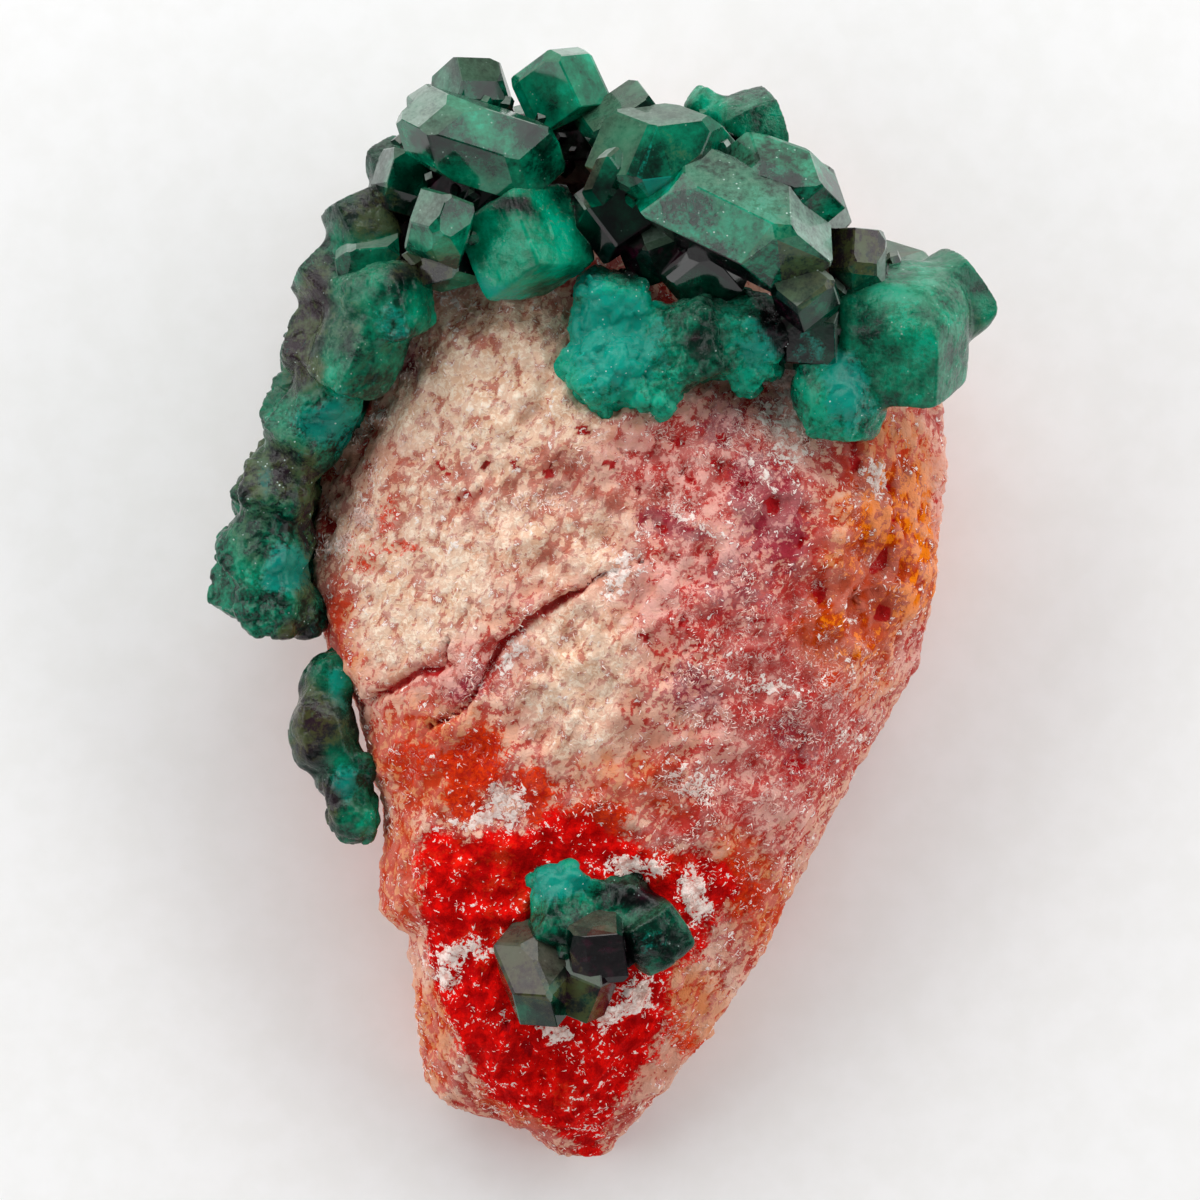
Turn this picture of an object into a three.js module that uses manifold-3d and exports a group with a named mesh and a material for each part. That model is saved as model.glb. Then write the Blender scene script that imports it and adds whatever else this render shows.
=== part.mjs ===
// Dioptase on matrix: a hand-sized wedge of rock that lies on its broad back, with its wide end and left
// flank overgrown by dioptase and a small cluster on the lower part of its face.
// Millimetres. +Z is up, out of the rock's face. +Y points to the wide end, +X to the right of the face.
import * as THREE from 'three';
import { ConvexGeometry } from 'three/addons/geometries/ConvexGeometry.js';
import { ParametricGeometry } from 'three/addons/geometries/ParametricGeometry.js';
import { mergeVertices } from 'three/addons/utils/BufferGeometryUtils.js';
import Module from 'manifold-3d';

const wasm = await Module();
wasm.setup();

// Rock, seen from above: how far its left and right edges and its crest lie, at distances along the length.
const leftEdge = [
  [-40.4, -3.2], [-38.3, -5.4], [-37.2, -8.6], [-36.2, -11.4], [-34.3, -12.9], [-29.9, -13.3],
  [-23.9, -13.8], [-22.4, -15.9], [-20.0, -16.1], [-17.4, -15.7], [-14.1, -15.9], [-11.5, -16.8],
  [-7.9, -17.5], [-4.9, -19.2], [0.1, -20.6], [8.6, -20.3], [15.0, -19.0], [21.0, -16.5],
  [26.0, -12.5], [30.0, -7.0], [32.0, -2.5],
];
const rightEdge = [
  [-40.4, -0.4], [-37.4, 2.4], [-34.1, 5.2], [-30.1, 8.4], [-25.8, 11.2], [-19.9, 14.1],
  [-16.5, 15.9], [-11.9, 18.2], [-7.6, 20.9], [-5.1, 22.7], [1.9, 24.0], [9.6, 24.4],
  [14.4, 24.6], [19.0, 21.5], [24.0, 17.0], [28.5, 11.0], [32.0, 2.5],
];
const crest = [
  [-40.4, 5.4], [-37.0, 9.5], [-32.0, 12.5], [-24.0, 15.0], [-12.0, 18.2], [0.0, 20.6],
  [10.0, 21.6], [19.0, 21.0], [23.0, 18.5], [28.0, 14.0], [32.0, 9.0],
];
const rockStart = -40.4;
const rockEnd = 32.0;
const beltShare = 0.36; // the rock is widest at this share of its height
const undercut = 0.1; // how much narrower its back is than its belt
const rockRows = 33;
const rockColumns = 31;
const faceColumnShare = 0.68; // columns spent on the face, the rest go under the back

// Relief of the rock's face: rounded swellings and hollows at [x, y], with a reach and a height.
const swellings = [
  { at: [-14.0, 2.5], reach: 6.5, height: 1.5 },
  { at: [-10.5, -13.5], reach: 4.5, height: -0.8 },
  { at: [-12.5, -17.5], reach: 3.0, height: 0.9 },
  { at: [-7.0, 8.5], reach: 2.6, height: -1.0 },
  { at: [-1.5, 12.0], reach: 3.4, height: 0.9 },
  { at: [4.5, 9.5], reach: 2.8, height: -0.9 },
  { at: [3.5, -4.0], reach: 5.5, height: 1.1 },
  { at: [11.0, 4.0], reach: 5.0, height: 0.7 },
  { at: [19.9, 3.0], reach: 1.9, height: -1.9 },
  { at: [15.7, 0.6], reach: 1.5, height: -1.3 },
  { at: [20.3, -1.6], reach: 1.6, height: -1.4 },
  { at: [12.5, -12.0], reach: 4.0, height: -0.7 },
  { at: [-8.0, -31.0], reach: 3.2, height: 0.8 },
  { at: [-5.0, -33.0], reach: 1.6, height: -1.0 },
  { at: [2.0, -31.0], reach: 2.6, height: -0.7 },
];
const lumpHeight = 0.75;
const lumpSpacing = 5.2;

// Broken facets of the rock: each cuts it flat at a distance from its core, facing a heading and a rise.
const core = [0, -4, 6];
const leastShare = 0.5; // a facet never cuts deeper into a section than this
const facets = [
  { heading: -28, rise: 24, distance: 19.4 },
  { heading: -47, rise: 48, distance: 18.4 },
  { heading: 8, rise: 40, distance: 23.6 },
  { heading: 168, rise: 36, distance: 21.0 },
  { heading: 207, rise: 30, distance: 21.6 },
  { heading: 196, rise: -24, distance: 19.9 },
  { heading: 187, rise: 62, distance: 16.4 },
  { heading: -70, rise: 30, distance: 28.0 },
  { heading: -118, rise: 34, distance: 28.0 },
  { heading: 60, rise: 58, distance: 22.0 },
  { heading: -38, rise: -30, distance: 21.4 },
];
const stepEdge = 17.6; // to the right of this line the face drops to a lower, ochre one
const stepDrop = 2.6;
const stepFrom = -7.0;
const stepTo = 13.0;

// Cracks across the face: the course of each as [x, y], and the greatest width and depth.
const crackCourses = [
  [
    [-12.4, -9.0], [-9.4, -7.2], [-7.8, -4.8], [-7.2, -3.4], [-5.4, -2.0], [-2.9, -0.2],
    [-0.3, 1.6], [2.7, 2.9],
  ],
  [[-18.2, -8.1], [-15.6, -6.6], [-13.1, -5.0], [-10.6, -4.6]],
];
const crackWidth = 0.8;
const crackDepth = 2.6;
const crackReach = 9; // the blade that cuts a crack stands well out of the face

// Dioptase: a six-sided prism closed at each end by three faces, one over every other edge of the prism.
const capSlope = 1.233; // fall of an end face for each unit away from the crystal's axis
const unevenSides = 0.14; // most that one side face lies closer in than another, as a share
const unevenCaps = 0.1;
const gap = 0.3; // left between touching pieces

// Each crystal: its middle, the radius of its edges, the reach from middle to tip, the heading of its axis in
// plan and its rise above it, the roll about the axis in degrees, and the seed of its uneven faces.
const crownCrystals = [
  { at: [-9.1, 35.3, 19.6], radius: 3.0, reach: 4.0, heading: 112, rise: 30, roll: 20, seed: 1 },
  { at: [-11.7, 34.7, 18.2], radius: 2.0, reach: 2.8, heading: 30, rise: 30, roll: 0, seed: 58 },
  { at: [-14.2, 30.4, 18.5], radius: 2.4, reach: 3.2, heading: 150, rise: 15, roll: 20, seed: 2 },
  { at: [-2.8, 35.8, 20.5], radius: 3.7, reach: 4.1, heading: -50, rise: 62, roll: 12, seed: 3 },
  { at: [-8.5, 31.8, 25.0], radius: 3.5, reach: 6.7, heading: 163, rise: 8, roll: 20, seed: 4 },
  { at: [1.9, 32.5, 21.8], radius: 4.3, reach: 4.5, heading: 60, rise: 50, roll: 0, seed: 5 },
  { at: [4.1, 31.0, 24.6], radius: 3.9, reach: 5.9, heading: -172, rise: 14, roll: 0, seed: 6 },
  { at: [0.2, 29.3, 26.6], radius: 1.2, reach: 2.5, heading: 66, rise: 15, roll: 10, seed: 7 },
  { at: [7.1, 34.8, 19.5], radius: 1.6, reach: 2.0, heading: 80, rise: 40, roll: 0, seed: 8 },
  { at: [10.3, 33.4, 20.2], radius: 3.2, reach: 3.6, heading: 40, rise: 40, roll: 10, seed: 9 },
  { at: [12.3, 29.0, 24.5], radius: 3.5, reach: 5.4, heading: -20, rise: 8, roll: 14, seed: 10 },
  { at: [9.2, 26.7, 25.4], radius: 4.4, reach: 8.4, heading: -27, rise: 16, roll: 22, seed: 11 },
  { at: [-5.2, 25.0, 23.2], radius: 5.9, reach: 5.3, heading: -60, rise: 64, roll: 20, seed: 12 },
  { at: [-11.3, 25.8, 26.0], radius: 2.5, reach: 3.8, heading: 75, rise: 50, roll: 25, seed: 13 },
  { at: [-16.8, 26.4, 20.5], radius: 3.3, reach: 3.6, heading: 140, rise: 45, roll: 0, seed: 16 },
  { at: [-15.0, 20.9, 22.0], radius: 4.1, reach: 4.8, heading: -60, rise: 42, roll: 10, seed: 17 },
  { at: [-17.3, 17.4, 20.6], radius: 3.9, reach: 4.6, heading: -110, rise: 35, roll: 25, seed: 59 },
  { at: [-18.8, 22.5, 19.2], radius: 3.5, reach: 3.9, heading: 160, rise: 40, roll: 0, seed: 18 },
  { at: [0.6, 27.0, 22.6], radius: 3.2, reach: 4.2, heading: 60, rise: 50, roll: 0, seed: 19 },
  { at: [3.6, 24.8, 21.4], radius: 3.0, reach: 3.8, heading: 20, rise: 55, roll: 30, seed: 53 },
  { at: [7.2, 23.2, 21.4], radius: 3.3, reach: 4.0, heading: -30, rise: 35, roll: 10, seed: 54 },
  { at: [-9.0, 28.7, 22.5], radius: 2.8, reach: 3.8, heading: -20, rise: 40, roll: 0, seed: 20 },
  { at: [-13.9, 29.1, 20.5], radius: 2.8, reach: 3.6, heading: 100, rise: 40, roll: 0, seed: 21 },
  { at: [-10.9, 24.0, 21.4], radius: 3.3, reach: 3.7, heading: -60, rise: 60, roll: 0, seed: 22 },
  { at: [-16.2, 23.6, 20.8], radius: 3.1, reach: 3.8, heading: 30, rise: 50, roll: 0, seed: 56 },
  { at: [-20.1, 18.0, 18.0], radius: 2.9, reach: 3.6, heading: 190, rise: 35, roll: 0, seed: 25 },
  { at: [-19.3, 14.3, 17.6], radius: 3.1, reach: 3.8, heading: -150, rise: 50, roll: 0, seed: 26 },
  { at: [-20.9, 11.9, 16.3], radius: 3.3, reach: 4.2, heading: 170, rise: 30, roll: 0, seed: 27 },
  { at: [-23.0, 8.0, 15.6], radius: 3.2, reach: 4.2, heading: 200, rise: 40, roll: 0, seed: 28 },
  { at: [-23.9, 3.8, 14.0], radius: 4.0, reach: 5.0, heading: -110, rise: 30, roll: 0, seed: 29 },
  { at: [-23.2, 0.4, 13.8], radius: 3.5, reach: 4.4, heading: -70, rise: 30, roll: 0, seed: 30 },
  { at: [-24.8, 1.0, 11.0], radius: 3.2, reach: 4.2, heading: -160, rise: 10, roll: 0, seed: 31 },
  { at: [-24.0, 3.4, 8.6], radius: 3.9, reach: 5.0, heading: -150, rise: 10, roll: 0, seed: 60 },
  { at: [-23.2, 7.4, 10.4], radius: 3.6, reach: 4.6, heading: 170, rise: 30, roll: 0, seed: 61 },
  { at: [-23.4, 0.6, 7.8], radius: 3.4, reach: 4.4, heading: -120, rise: 20, roll: 0, seed: 62 },
  { at: [-21.2, -0.9, 12.8], radius: 2.1, reach: 2.7, heading: -60, rise: 30, roll: 0, seed: 63 },
  { at: [-9.3, 32.6, 18.6], radius: 3.6, reach: 4.4, heading: 20, rise: 30, roll: 0, seed: 50 },
  { at: [8.4, 31.0, 19.4], radius: 3.6, reach: 4.6, heading: 60, rise: 30, roll: 0, seed: 51 },
];
const brokenCrystals = [
  { at: [0.3, 16.4, 21.8], radius: 4.1, reach: 4.5, heading: -120, rise: 50, roll: 10, seed: 14 },
  { at: [6.6, 18.2, 22.0], radius: 4.4, reach: 4.9, heading: -50, rise: 50, roll: 0, seed: 15 },
  { at: [10.5, 18.9, 21.6], radius: 3.5, reach: 4.4, heading: -20, rise: 40, roll: 15, seed: 52 },
  { at: [3.7, 15.4, 21.2], radius: 3.2, reach: 3.8, heading: -90, rise: 50, roll: 0, seed: 23 },
  { at: [10.3, 16.6, 21.0], radius: 2.6, reach: 3.2, heading: -30, rise: 40, roll: 0, seed: 24 },
  { at: [0.5, 20.5, 21.4], radius: 3.6, reach: 4.3, heading: 20, rise: 40, roll: 0, seed: 57 },
];
const shoulderCrystals = [
  { at: [14.2, 21.2, 25.4], radius: 2.8, reach: 3.4, heading: -120, rise: 64, roll: 5, seed: 32 },
  { at: [17.7, 23.7, 22.5], radius: 2.6, reach: 3.6, heading: 95, rise: 50, roll: 20, seed: 33 },
  { at: [21.0, 18.8, 20.6], radius: 5.7, reach: 7.2, heading: -70, rise: 25, roll: 10, seed: 34 },
  { at: [24.0, 20.9, 18.0], radius: 4.2, reach: 4.8, heading: 60, rise: 40, roll: 0, seed: 35 },
  { at: [16.1, 14.7, 20.8], radius: 3.6, reach: 5.0, heading: -70, rise: 25, roll: 0, seed: 36 },
  { at: [14.2, 18.7, 21.4], radius: 3.2, reach: 4.0, heading: 20, rise: 60, roll: 0, seed: 37 },
  { at: [16.3, 24.2, 19.5], radius: 2.4, reach: 3.4, heading: 20, rise: 30, roll: 0, seed: 38 },
  { at: [17.9, 13.4, 20.5], radius: 2.4, reach: 3.2, heading: -80, rise: 40, roll: 0, seed: 39 },
];
const lowerLeftCrystals = [
  { at: [-19.9, -9.3, 12.5], radius: 2.8, reach: 4.2, heading: 100, rise: 15, roll: 0, seed: 40 },
  { at: [-19.6, -5.7, 12.2], radius: 2.3, reach: 3.2, heading: 60, rise: 25, roll: 0, seed: 41 },
  { at: [-17.8, -15.1, 11.5], radius: 2.3, reach: 3.3, heading: 120, rise: 10, roll: 0, seed: 42 },
  { at: [-18.4, -12.4, 12.0], radius: 2.2, reach: 3.0, heading: 30, rise: 20, roll: 0, seed: 43 },
];
const frontCrystals = [
  { at: [-4.7, -26.2, 16.6], radius: 2.9, reach: 4.8, heading: -66, rise: 20, roll: 20, seed: 44 },
  { at: [-1.3, -27.0, 16.2], radius: 2.9, reach: 3.4, heading: -84, rise: 30, roll: 0, seed: 45 },
  { at: [-0.4, -24.4, 17.0], radius: 3.3, reach: 3.4, heading: 30, rise: 50, roll: 0, seed: 46 },
  { at: [-3.2, -20.2, 15.8], radius: 2.4, reach: 3.4, heading: 15, rise: 20, roll: 0, seed: 47 },
  { at: [-3.3, -22.8, 16.6], radius: 2.6, reach: 3.0, heading: 100, rise: 40, roll: 0, seed: 48 },
  { at: [3.7, -23.6, 16.0], radius: 3.4, reach: 3.8, heading: 60, rise: 40, roll: 0, seed: 49 },
  { at: [1.5, -21.0, 15.4], radius: 2.6, reach: 3.4, heading: -15, rise: 20, roll: 10, seed: 55 },
];

// Undergrowth: smaller crystals that root the crust all round the rock's wide end, in rows one above another.
const crownRoots = [
  [-22.2, 9.4], [-19.2, 17.4], [-15.2, 24.2], [-9.8, 29.6],
  [-3.0, 32.4], [4.0, 32.0], [10.6, 29.0], [14.6, 26.4],
];
const shoulderRoots = [[17.8, 23.6], [20.8, 20.2], [22.2, 16.4]];
const rootRows = [
  { height: 8.0, inset: 0.4, rise: 0 },
  { height: 13.4, inset: 0.4, rise: 24 },
];
const rootSpacing = 7.2;
const rootRadius = 4.5;
const rootReach = 5.4;

// The value at a place along a list of [place, value] points.
function along(points, place) {
  const last = points.length - 1;
  if (place <= points[0][0]) return points[0][1];
  if (place >= points[last][0]) return points[last][1];
  const next = points.findIndex(([start]) => start > place);
  const [start, from] = points[next - 1];
  const [end, to] = points[next];
  return THREE.MathUtils.mapLinear(place, start, end, from, to);
}

// A repeatable number from 0 to 1 for a seed and a count.
function chance(seed, count) {
  const value = Math.sin(seed * 12.9898 + count * 78.233) * 43758.5453;
  return value - Math.floor(value);
}

// Height added to the rock's face at a point in plan.
function relief(x, y) {
  let height = 0;
  for (const swelling of swellings) {
    const away = Math.hypot(x - swelling.at[0], y - swelling.at[1]) / swelling.reach;
    height += swelling.height * Math.exp(-away * away);
  }
  const wave = Math.PI / lumpSpacing;
  const ridge = (overX, overY, shift) => Math.abs(Math.sin(wave * (overX * x + overY * y) + shift));
  height += lumpHeight * (0.6 - ridge(0.9, 0.5, 0.4) * ridge(0.5, -1.0, 1));
  height += 0.5 * lumpHeight * (0.6 - ridge(1.9, -1.3, 2) * ridge(0.7, 2.1, 0));
  const ragged = stepEdge + 0.6 * Math.sin(1.3 * y) + 0.3 * Math.sin(3.1 * y);
  const beyond = THREE.MathUtils.smoothstep(x, ragged - 0.4, ragged + 0.9);
  const within = THREE.MathUtils.smoothstep(y, stepFrom, stepFrom + 5)
    * (1 - THREE.MathUtils.smoothstep(y, stepTo, stepTo + 3));
  return height - stepDrop * beyond * within;
}

// The share of the way from the middle of a section to a point that stays inside every broken facet.
function facetShare(middle, point) {
  return facets.reduce((share, { heading, rise, distance }) => {
    const [turn, lift] = [heading, rise].map(THREE.MathUtils.degToRad);
    const normal = new THREE.Vector3(
      Math.cos(lift) * Math.cos(turn),
      Math.cos(lift) * Math.sin(turn),
      Math.sin(lift),
    );
    const room = distance - normal.dot(middle.clone().sub(new THREE.Vector3(...core)));
    const reach = normal.dot(point.clone().sub(middle));
    return reach > Math.max(room, 0.01) ? Math.min(share, Math.max(room / reach, leastShare)) : share;
  }, 1);
}

// The rock's surface: a rounded section with a flat back, carried along the length. round runs about the
// section, first over the face from left to right, then back under it.
function rockPoint(round, length, target) {
  const y = THREE.MathUtils.lerp(rockStart, rockEnd, 0.5 - 0.5 * Math.cos(Math.PI * length));
  const left = along(leftEdge, y);
  const right = along(rightEdge, y);
  const height = along(crest, y);
  const belt = beltShare * height;
  const onFace = round <= faceColumnShare;
  const angle = onFace
    ? (Math.PI * round) / faceColumnShare
    : Math.PI * (1 + (round - faceColumnShare) / (1 - faceColumnShare));
  const across = Math.sign(Math.cos(angle)) * Math.abs(Math.cos(angle)) ** 0.62;
  const raised = Math.abs(Math.sin(angle)) ** 0.6;
  const halfWidth = 0.5 * (right - left) * (onFace ? 1 : 1 - undercut * raised);
  const x = 0.5 * (left + right) - halfWidth * across;
  const end = Math.sin(Math.PI * length) < 1e-6;
  if (end) {
    target.set(0.5 * (left + right), y, belt);
  } else if (onFace) {
    target.set(x, y, belt + (height - belt) * raised + relief(x, y) * raised ** 3);
  } else {
    target.set(x, y, belt * (1 - 1.3 * raised));
  }
  const middle = new THREE.Vector3(0.5 * (left + right), y, belt);
  const share = facetShare(middle, target);
  target.lerpVectors(middle, target, share);
  target.z = Math.max(0, target.z);
}

// A closed three.js geometry as a solid, with shared corners merged and empty triangles left out.
function toSolid(geometry) {
  const bare = geometry.clone();
  for (const name of ['normal', 'uv']) bare.deleteAttribute(name);
  const merged = mergeVertices(bare, 1e-4);
  const index = merged.index.array;
  const corners = [];
  for (let i = 0; i < index.length; i += 3) {
    const [a, b, c] = [index[i], index[i + 1], index[i + 2]];
    if (a !== b && b !== c && c !== a) corners.push(a, b, c);
  }
  const vertProperties = new Float32Array(merged.attributes.position.array);
  const triVerts = new Uint32Array(corners);
  return new wasm.Manifold(new wasm.Mesh({ numProp: 3, vertProperties, triVerts }));
}

// A solid as a three.js geometry.
function toGeometry(solid) {
  const { vertProperties, triVerts } = solid.getMesh();
  const geometry = new THREE.BufferGeometry();
  geometry.setAttribute('position', new THREE.BufferAttribute(vertProperties, 3));
  geometry.setIndex(new THREE.BufferAttribute(triVerts, 1));
  geometry.computeVertexNormals();
  return geometry;
}

// The rock's skin moved outwards by growth.
function rockSolid(growth) {
  const geometry = new ParametricGeometry(rockPoint, rockColumns, rockRows);
  geometry.deleteAttribute('normal');
  geometry.deleteAttribute('uv');
  const skin = mergeVertices(geometry, 1e-4);
  skin.computeVertexNormals();
  const { position, normal } = skin.attributes;
  for (let i = 0; i < position.count; i += 1) {
    position.setXYZ(
      i,
      position.getX(i) + growth * normal.getX(i),
      position.getY(i) + growth * normal.getY(i),
      position.getZ(i) + growth * normal.getZ(i),
    );
  }
  return toSolid(skin);
}

// A crack: a thin blade that follows its course and narrows to both ends.
function crackSolid(points) {
  const course = new THREE.SplineCurve(points.map(([x, y]) => new THREE.Vector2(x, y)));
  const steps = 2 * points.length;
  const rightSide = [];
  const leftSide = [];
  for (let i = 0; i <= steps; i += 1) {
    const share = i / steps;
    const point = course.getPoint(share);
    const heading = course.getTangent(share);
    const half = 0.5 * crackWidth * (0.15 + 0.85 * Math.sin(Math.PI * share) ** 0.7);
    rightSide.push(new THREE.Vector2(point.x + half * heading.y, point.y - half * heading.x));
    leftSide.unshift(new THREE.Vector2(point.x - half * heading.y, point.y + half * heading.x));
  }
  const outline = new THREE.Shape([...rightSide, ...leftSide]);
  const blade = new THREE.ExtrudeGeometry(outline, { depth: crackReach, bevelEnabled: false });
  const [, middle] = points[Math.floor(points.length / 2)];
  blade.translate(0, 0, along(crest, middle) - crackDepth);
  return toSolid(blade);
}

// The flat faces of one crystal, as outward planes moved outwards by growth.
function crystalPlanes(crystal, growth) {
  const heading = THREE.MathUtils.degToRad(crystal.heading);
  const rise = THREE.MathUtils.degToRad(crystal.rise);
  const roll = THREE.MathUtils.degToRad(crystal.roll);
  const axis = new THREE.Vector3(
    Math.cos(rise) * Math.cos(heading),
    Math.cos(rise) * Math.sin(heading),
    Math.sin(rise),
  );
  const level = new THREE.Vector3(-Math.sin(heading), Math.cos(heading), 0);
  const upright = new THREE.Vector3().crossVectors(axis, level);
  const centre = new THREE.Vector3(...crystal.at);
  const planes = [];
  const addPlane = (angle, alongAxis, offset) => {
    const out = alongAxis === 0 ? 1 : capSlope;
    const normal = new THREE.Vector3()
      .addScaledVector(level, out * Math.cos(roll + angle))
      .addScaledVector(upright, out * Math.sin(roll + angle))
      .addScaledVector(axis, alongAxis);
    const size = normal.length();
    normal.divideScalar(size);
    planes.push(new THREE.Plane(normal, -(normal.dot(centre) + offset / size + growth)));
  };
  const apothem = crystal.radius * Math.cos(Math.PI / 6);
  for (let side = 0; side < 6; side += 1) {
    const closer = 1 - unevenSides * chance(crystal.seed, side);
    addPlane(Math.PI / 6 + (side * Math.PI) / 3, 0, apothem * closer);
  }
  for (let cap = 0; cap < 3; cap += 1) {
    const upper = 1 - unevenCaps * chance(crystal.seed, 6 + cap);
    const lower = 1 - unevenCaps * chance(crystal.seed, 9 + cap);
    addPlane((cap * 2 * Math.PI) / 3, 1, crystal.reach * upper);
    addPlane(Math.PI + (cap * 2 * Math.PI) / 3, -1, crystal.reach * lower);
  }
  return planes;
}

// One crystal: the body inside all its planes. Its corners are where three of them meet.
function crystalSolid(crystal, growth) {
  const planes = crystalPlanes(crystal, growth);
  const corners = [];
  const keepCorner = (first, second, third) => {
    const normals = new THREE.Matrix3().set(
      ...first.normal.toArray(),
      ...second.normal.toArray(),
      ...third.normal.toArray(),
    );
    if (Math.abs(normals.determinant()) < 1e-3) return;
    const corner = new THREE.Vector3(-first.constant, -second.constant, -third.constant);
    corner.applyMatrix3(normals.invert());
    const inside = planes.every((plane) => plane.distanceToPoint(corner) < 1e-5);
    const known = corners.some((other) => other.distanceTo(corner) < 1e-3);
    if (inside && !known) corners.push(corner);
  };
  planes.forEach((first, i) => {
    planes.slice(i + 1).forEach((second, j) => {
      planes.slice(i + j + 2).forEach((third) => keepCorner(first, second, third));
    });
  });
  return toSolid(new ConvexGeometry(corners));
}

// Undergrowth crystals along a course, each row shifted by half a step and each crystal turned a little.
function undergrowth(course, seed) {
  const path = new THREE.CatmullRomCurve3(course.map(([x, y]) => new THREE.Vector3(x, y, 0)));
  const count = Math.round(path.getLength() / rootSpacing);
  const crystals = [];
  rootRows.forEach((row, level) => {
    for (let i = 0; i < count; i += 1) {
      const mark = seed + 20 * level + i;
      const share = (i + 0.5 * (level % 2) + 0.3 * chance(mark, 1)) / count;
      const place = path.getPointAt(share);
      const forward = path.getTangentAt(share);
      const outward = THREE.MathUtils.radToDeg(Math.atan2(forward.x, -forward.y));
      const size = 0.82 + 0.3 * chance(mark, 2);
      crystals.push({
        at: [
          place.x + row.inset * forward.y,
          place.y - row.inset * forward.x,
          row.height + 1.4 * (chance(mark, 3) - 0.5),
        ],
        radius: rootRadius * size,
        reach: rootReach * size,
        heading: outward + 70 * (chance(mark, 4) - 0.5),
        rise: row.rise + 40 * (chance(mark, 5) - 0.5),
        roll: 60 * chance(mark, 6),
        seed: mark,
      });
    }
  });
  return crystals;
}

// Crystals grown together, as one solid.
function clusterSolid(crystals, growth) {
  return crystals.map((crystal) => crystalSolid(crystal, growth)).reduce((all, one) => all.add(one));
}

// The largest body of a solid: slivers that a cut leaves loose are dropped.
function largestBody(solid) {
  return solid.decompose().reduce((best, body) => (body.volume() > best.volume() ? body : best));
}

const part = new THREE.Group();

function addPiece(name, solid, color, roughness) {
  const material = new THREE.MeshStandardMaterial({ color, roughness, metalness: 0 });
  const piece = new THREE.Mesh(toGeometry(solid), material);
  piece.name = name;
  part.add(piece);
}

const rock = crackCourses.reduce((body, course) => body.subtract(crackSolid(course)), rockSolid(0));
const rockSocket = rockSolid(gap);
const crownGrowth = [...crownCrystals, ...undergrowth(crownRoots, 180)];
const shoulderGrowth = [...shoulderCrystals, ...undergrowth(shoulderRoots, 800)];
const crown = clusterSolid(crownGrowth, 0).subtract(rockSocket);
const crownSocket = clusterSolid(crownGrowth, gap);
const broken = clusterSolid(brokenCrystals, 0).subtract(rockSocket).subtract(crownSocket);
const brokenSocket = clusterSolid(brokenCrystals, gap);
const shoulder = clusterSolid(shoulderGrowth, 0)
  .subtract(rockSocket)
  .subtract(crownSocket)
  .subtract(brokenSocket);
const lowerLeft = clusterSolid(lowerLeftCrystals, 0).subtract(rockSocket).subtract(crownSocket);
const front = clusterSolid(frontCrystals, 0).subtract(rockSocket);

addPiece('matrix', rock, 0xc98a72, 0.9);
addPiece('crown_crystals', largestBody(crown), 0x0b7a5e, 0.12);
addPiece('broken_crystals', largestBody(broken), 0x12a890, 0.25);
addPiece('shoulder_crystals', largestBody(shoulder), 0x0b7a5e, 0.12);
addPiece('lower_left_crystals', largestBody(lowerLeft), 0x0a5f50, 0.12);
addPiece('front_crystals', largestBody(front), 0x1f5f50, 0.12);

// The origin is the middle of the footprint, on the resting plane.
const extent = new THREE.Box3().setFromObject(part, true);
const middle = extent.getCenter(new THREE.Vector3());
part.position.set(-middle.x, -middle.y, 0);

export default part;
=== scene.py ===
import itertools
import math

import bmesh
import bpy
import numpy as np
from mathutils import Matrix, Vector


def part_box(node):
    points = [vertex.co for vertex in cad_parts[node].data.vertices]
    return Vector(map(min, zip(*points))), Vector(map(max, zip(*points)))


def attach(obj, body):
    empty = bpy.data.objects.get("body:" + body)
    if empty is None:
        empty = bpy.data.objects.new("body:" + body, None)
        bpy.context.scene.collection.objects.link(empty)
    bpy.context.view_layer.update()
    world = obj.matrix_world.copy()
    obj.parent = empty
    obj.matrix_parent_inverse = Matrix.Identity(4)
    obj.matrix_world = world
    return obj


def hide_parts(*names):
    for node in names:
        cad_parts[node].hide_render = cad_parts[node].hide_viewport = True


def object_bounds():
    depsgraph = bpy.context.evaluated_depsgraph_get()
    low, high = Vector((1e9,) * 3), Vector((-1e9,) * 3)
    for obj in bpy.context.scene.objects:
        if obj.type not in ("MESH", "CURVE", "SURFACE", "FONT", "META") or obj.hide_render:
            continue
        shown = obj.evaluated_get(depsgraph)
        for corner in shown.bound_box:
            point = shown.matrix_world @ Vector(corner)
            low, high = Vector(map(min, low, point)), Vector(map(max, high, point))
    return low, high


# Dioptase on matrix. Rows are in millimetres in the specimen's own design, and `shift` carries them to the
# frame. The rock lies on its broad back, its wide end to +Y.

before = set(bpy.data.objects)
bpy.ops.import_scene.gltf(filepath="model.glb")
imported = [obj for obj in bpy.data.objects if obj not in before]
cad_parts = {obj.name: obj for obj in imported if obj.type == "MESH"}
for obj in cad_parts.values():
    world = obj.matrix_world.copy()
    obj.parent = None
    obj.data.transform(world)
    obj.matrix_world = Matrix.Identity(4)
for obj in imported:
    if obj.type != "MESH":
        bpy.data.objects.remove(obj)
cadLow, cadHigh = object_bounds()
mm = 0.001


def chance(seed, count):  # the fraction of a large sine: a number from 0 to 1 that is the same in each run
    value = np.sin(seed * 12.9898 + count * 78.233) * 43758.5453
    return value - np.floor(value)


def cellChance(cell, seed):  # the same for whole-numbered cells in space
    value = np.sin(cell @ np.array([12.9898, 78.233, 37.719]) + 4.137 * seed) * 43758.5453
    return value - np.floor(value)


def smoothShare(low, high, value):  # 0 below low, 1 above high, an S curve between
    share = np.clip((value - low) / (high - low), 0, 1)
    return share * share * (3 - 2 * share)


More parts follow.
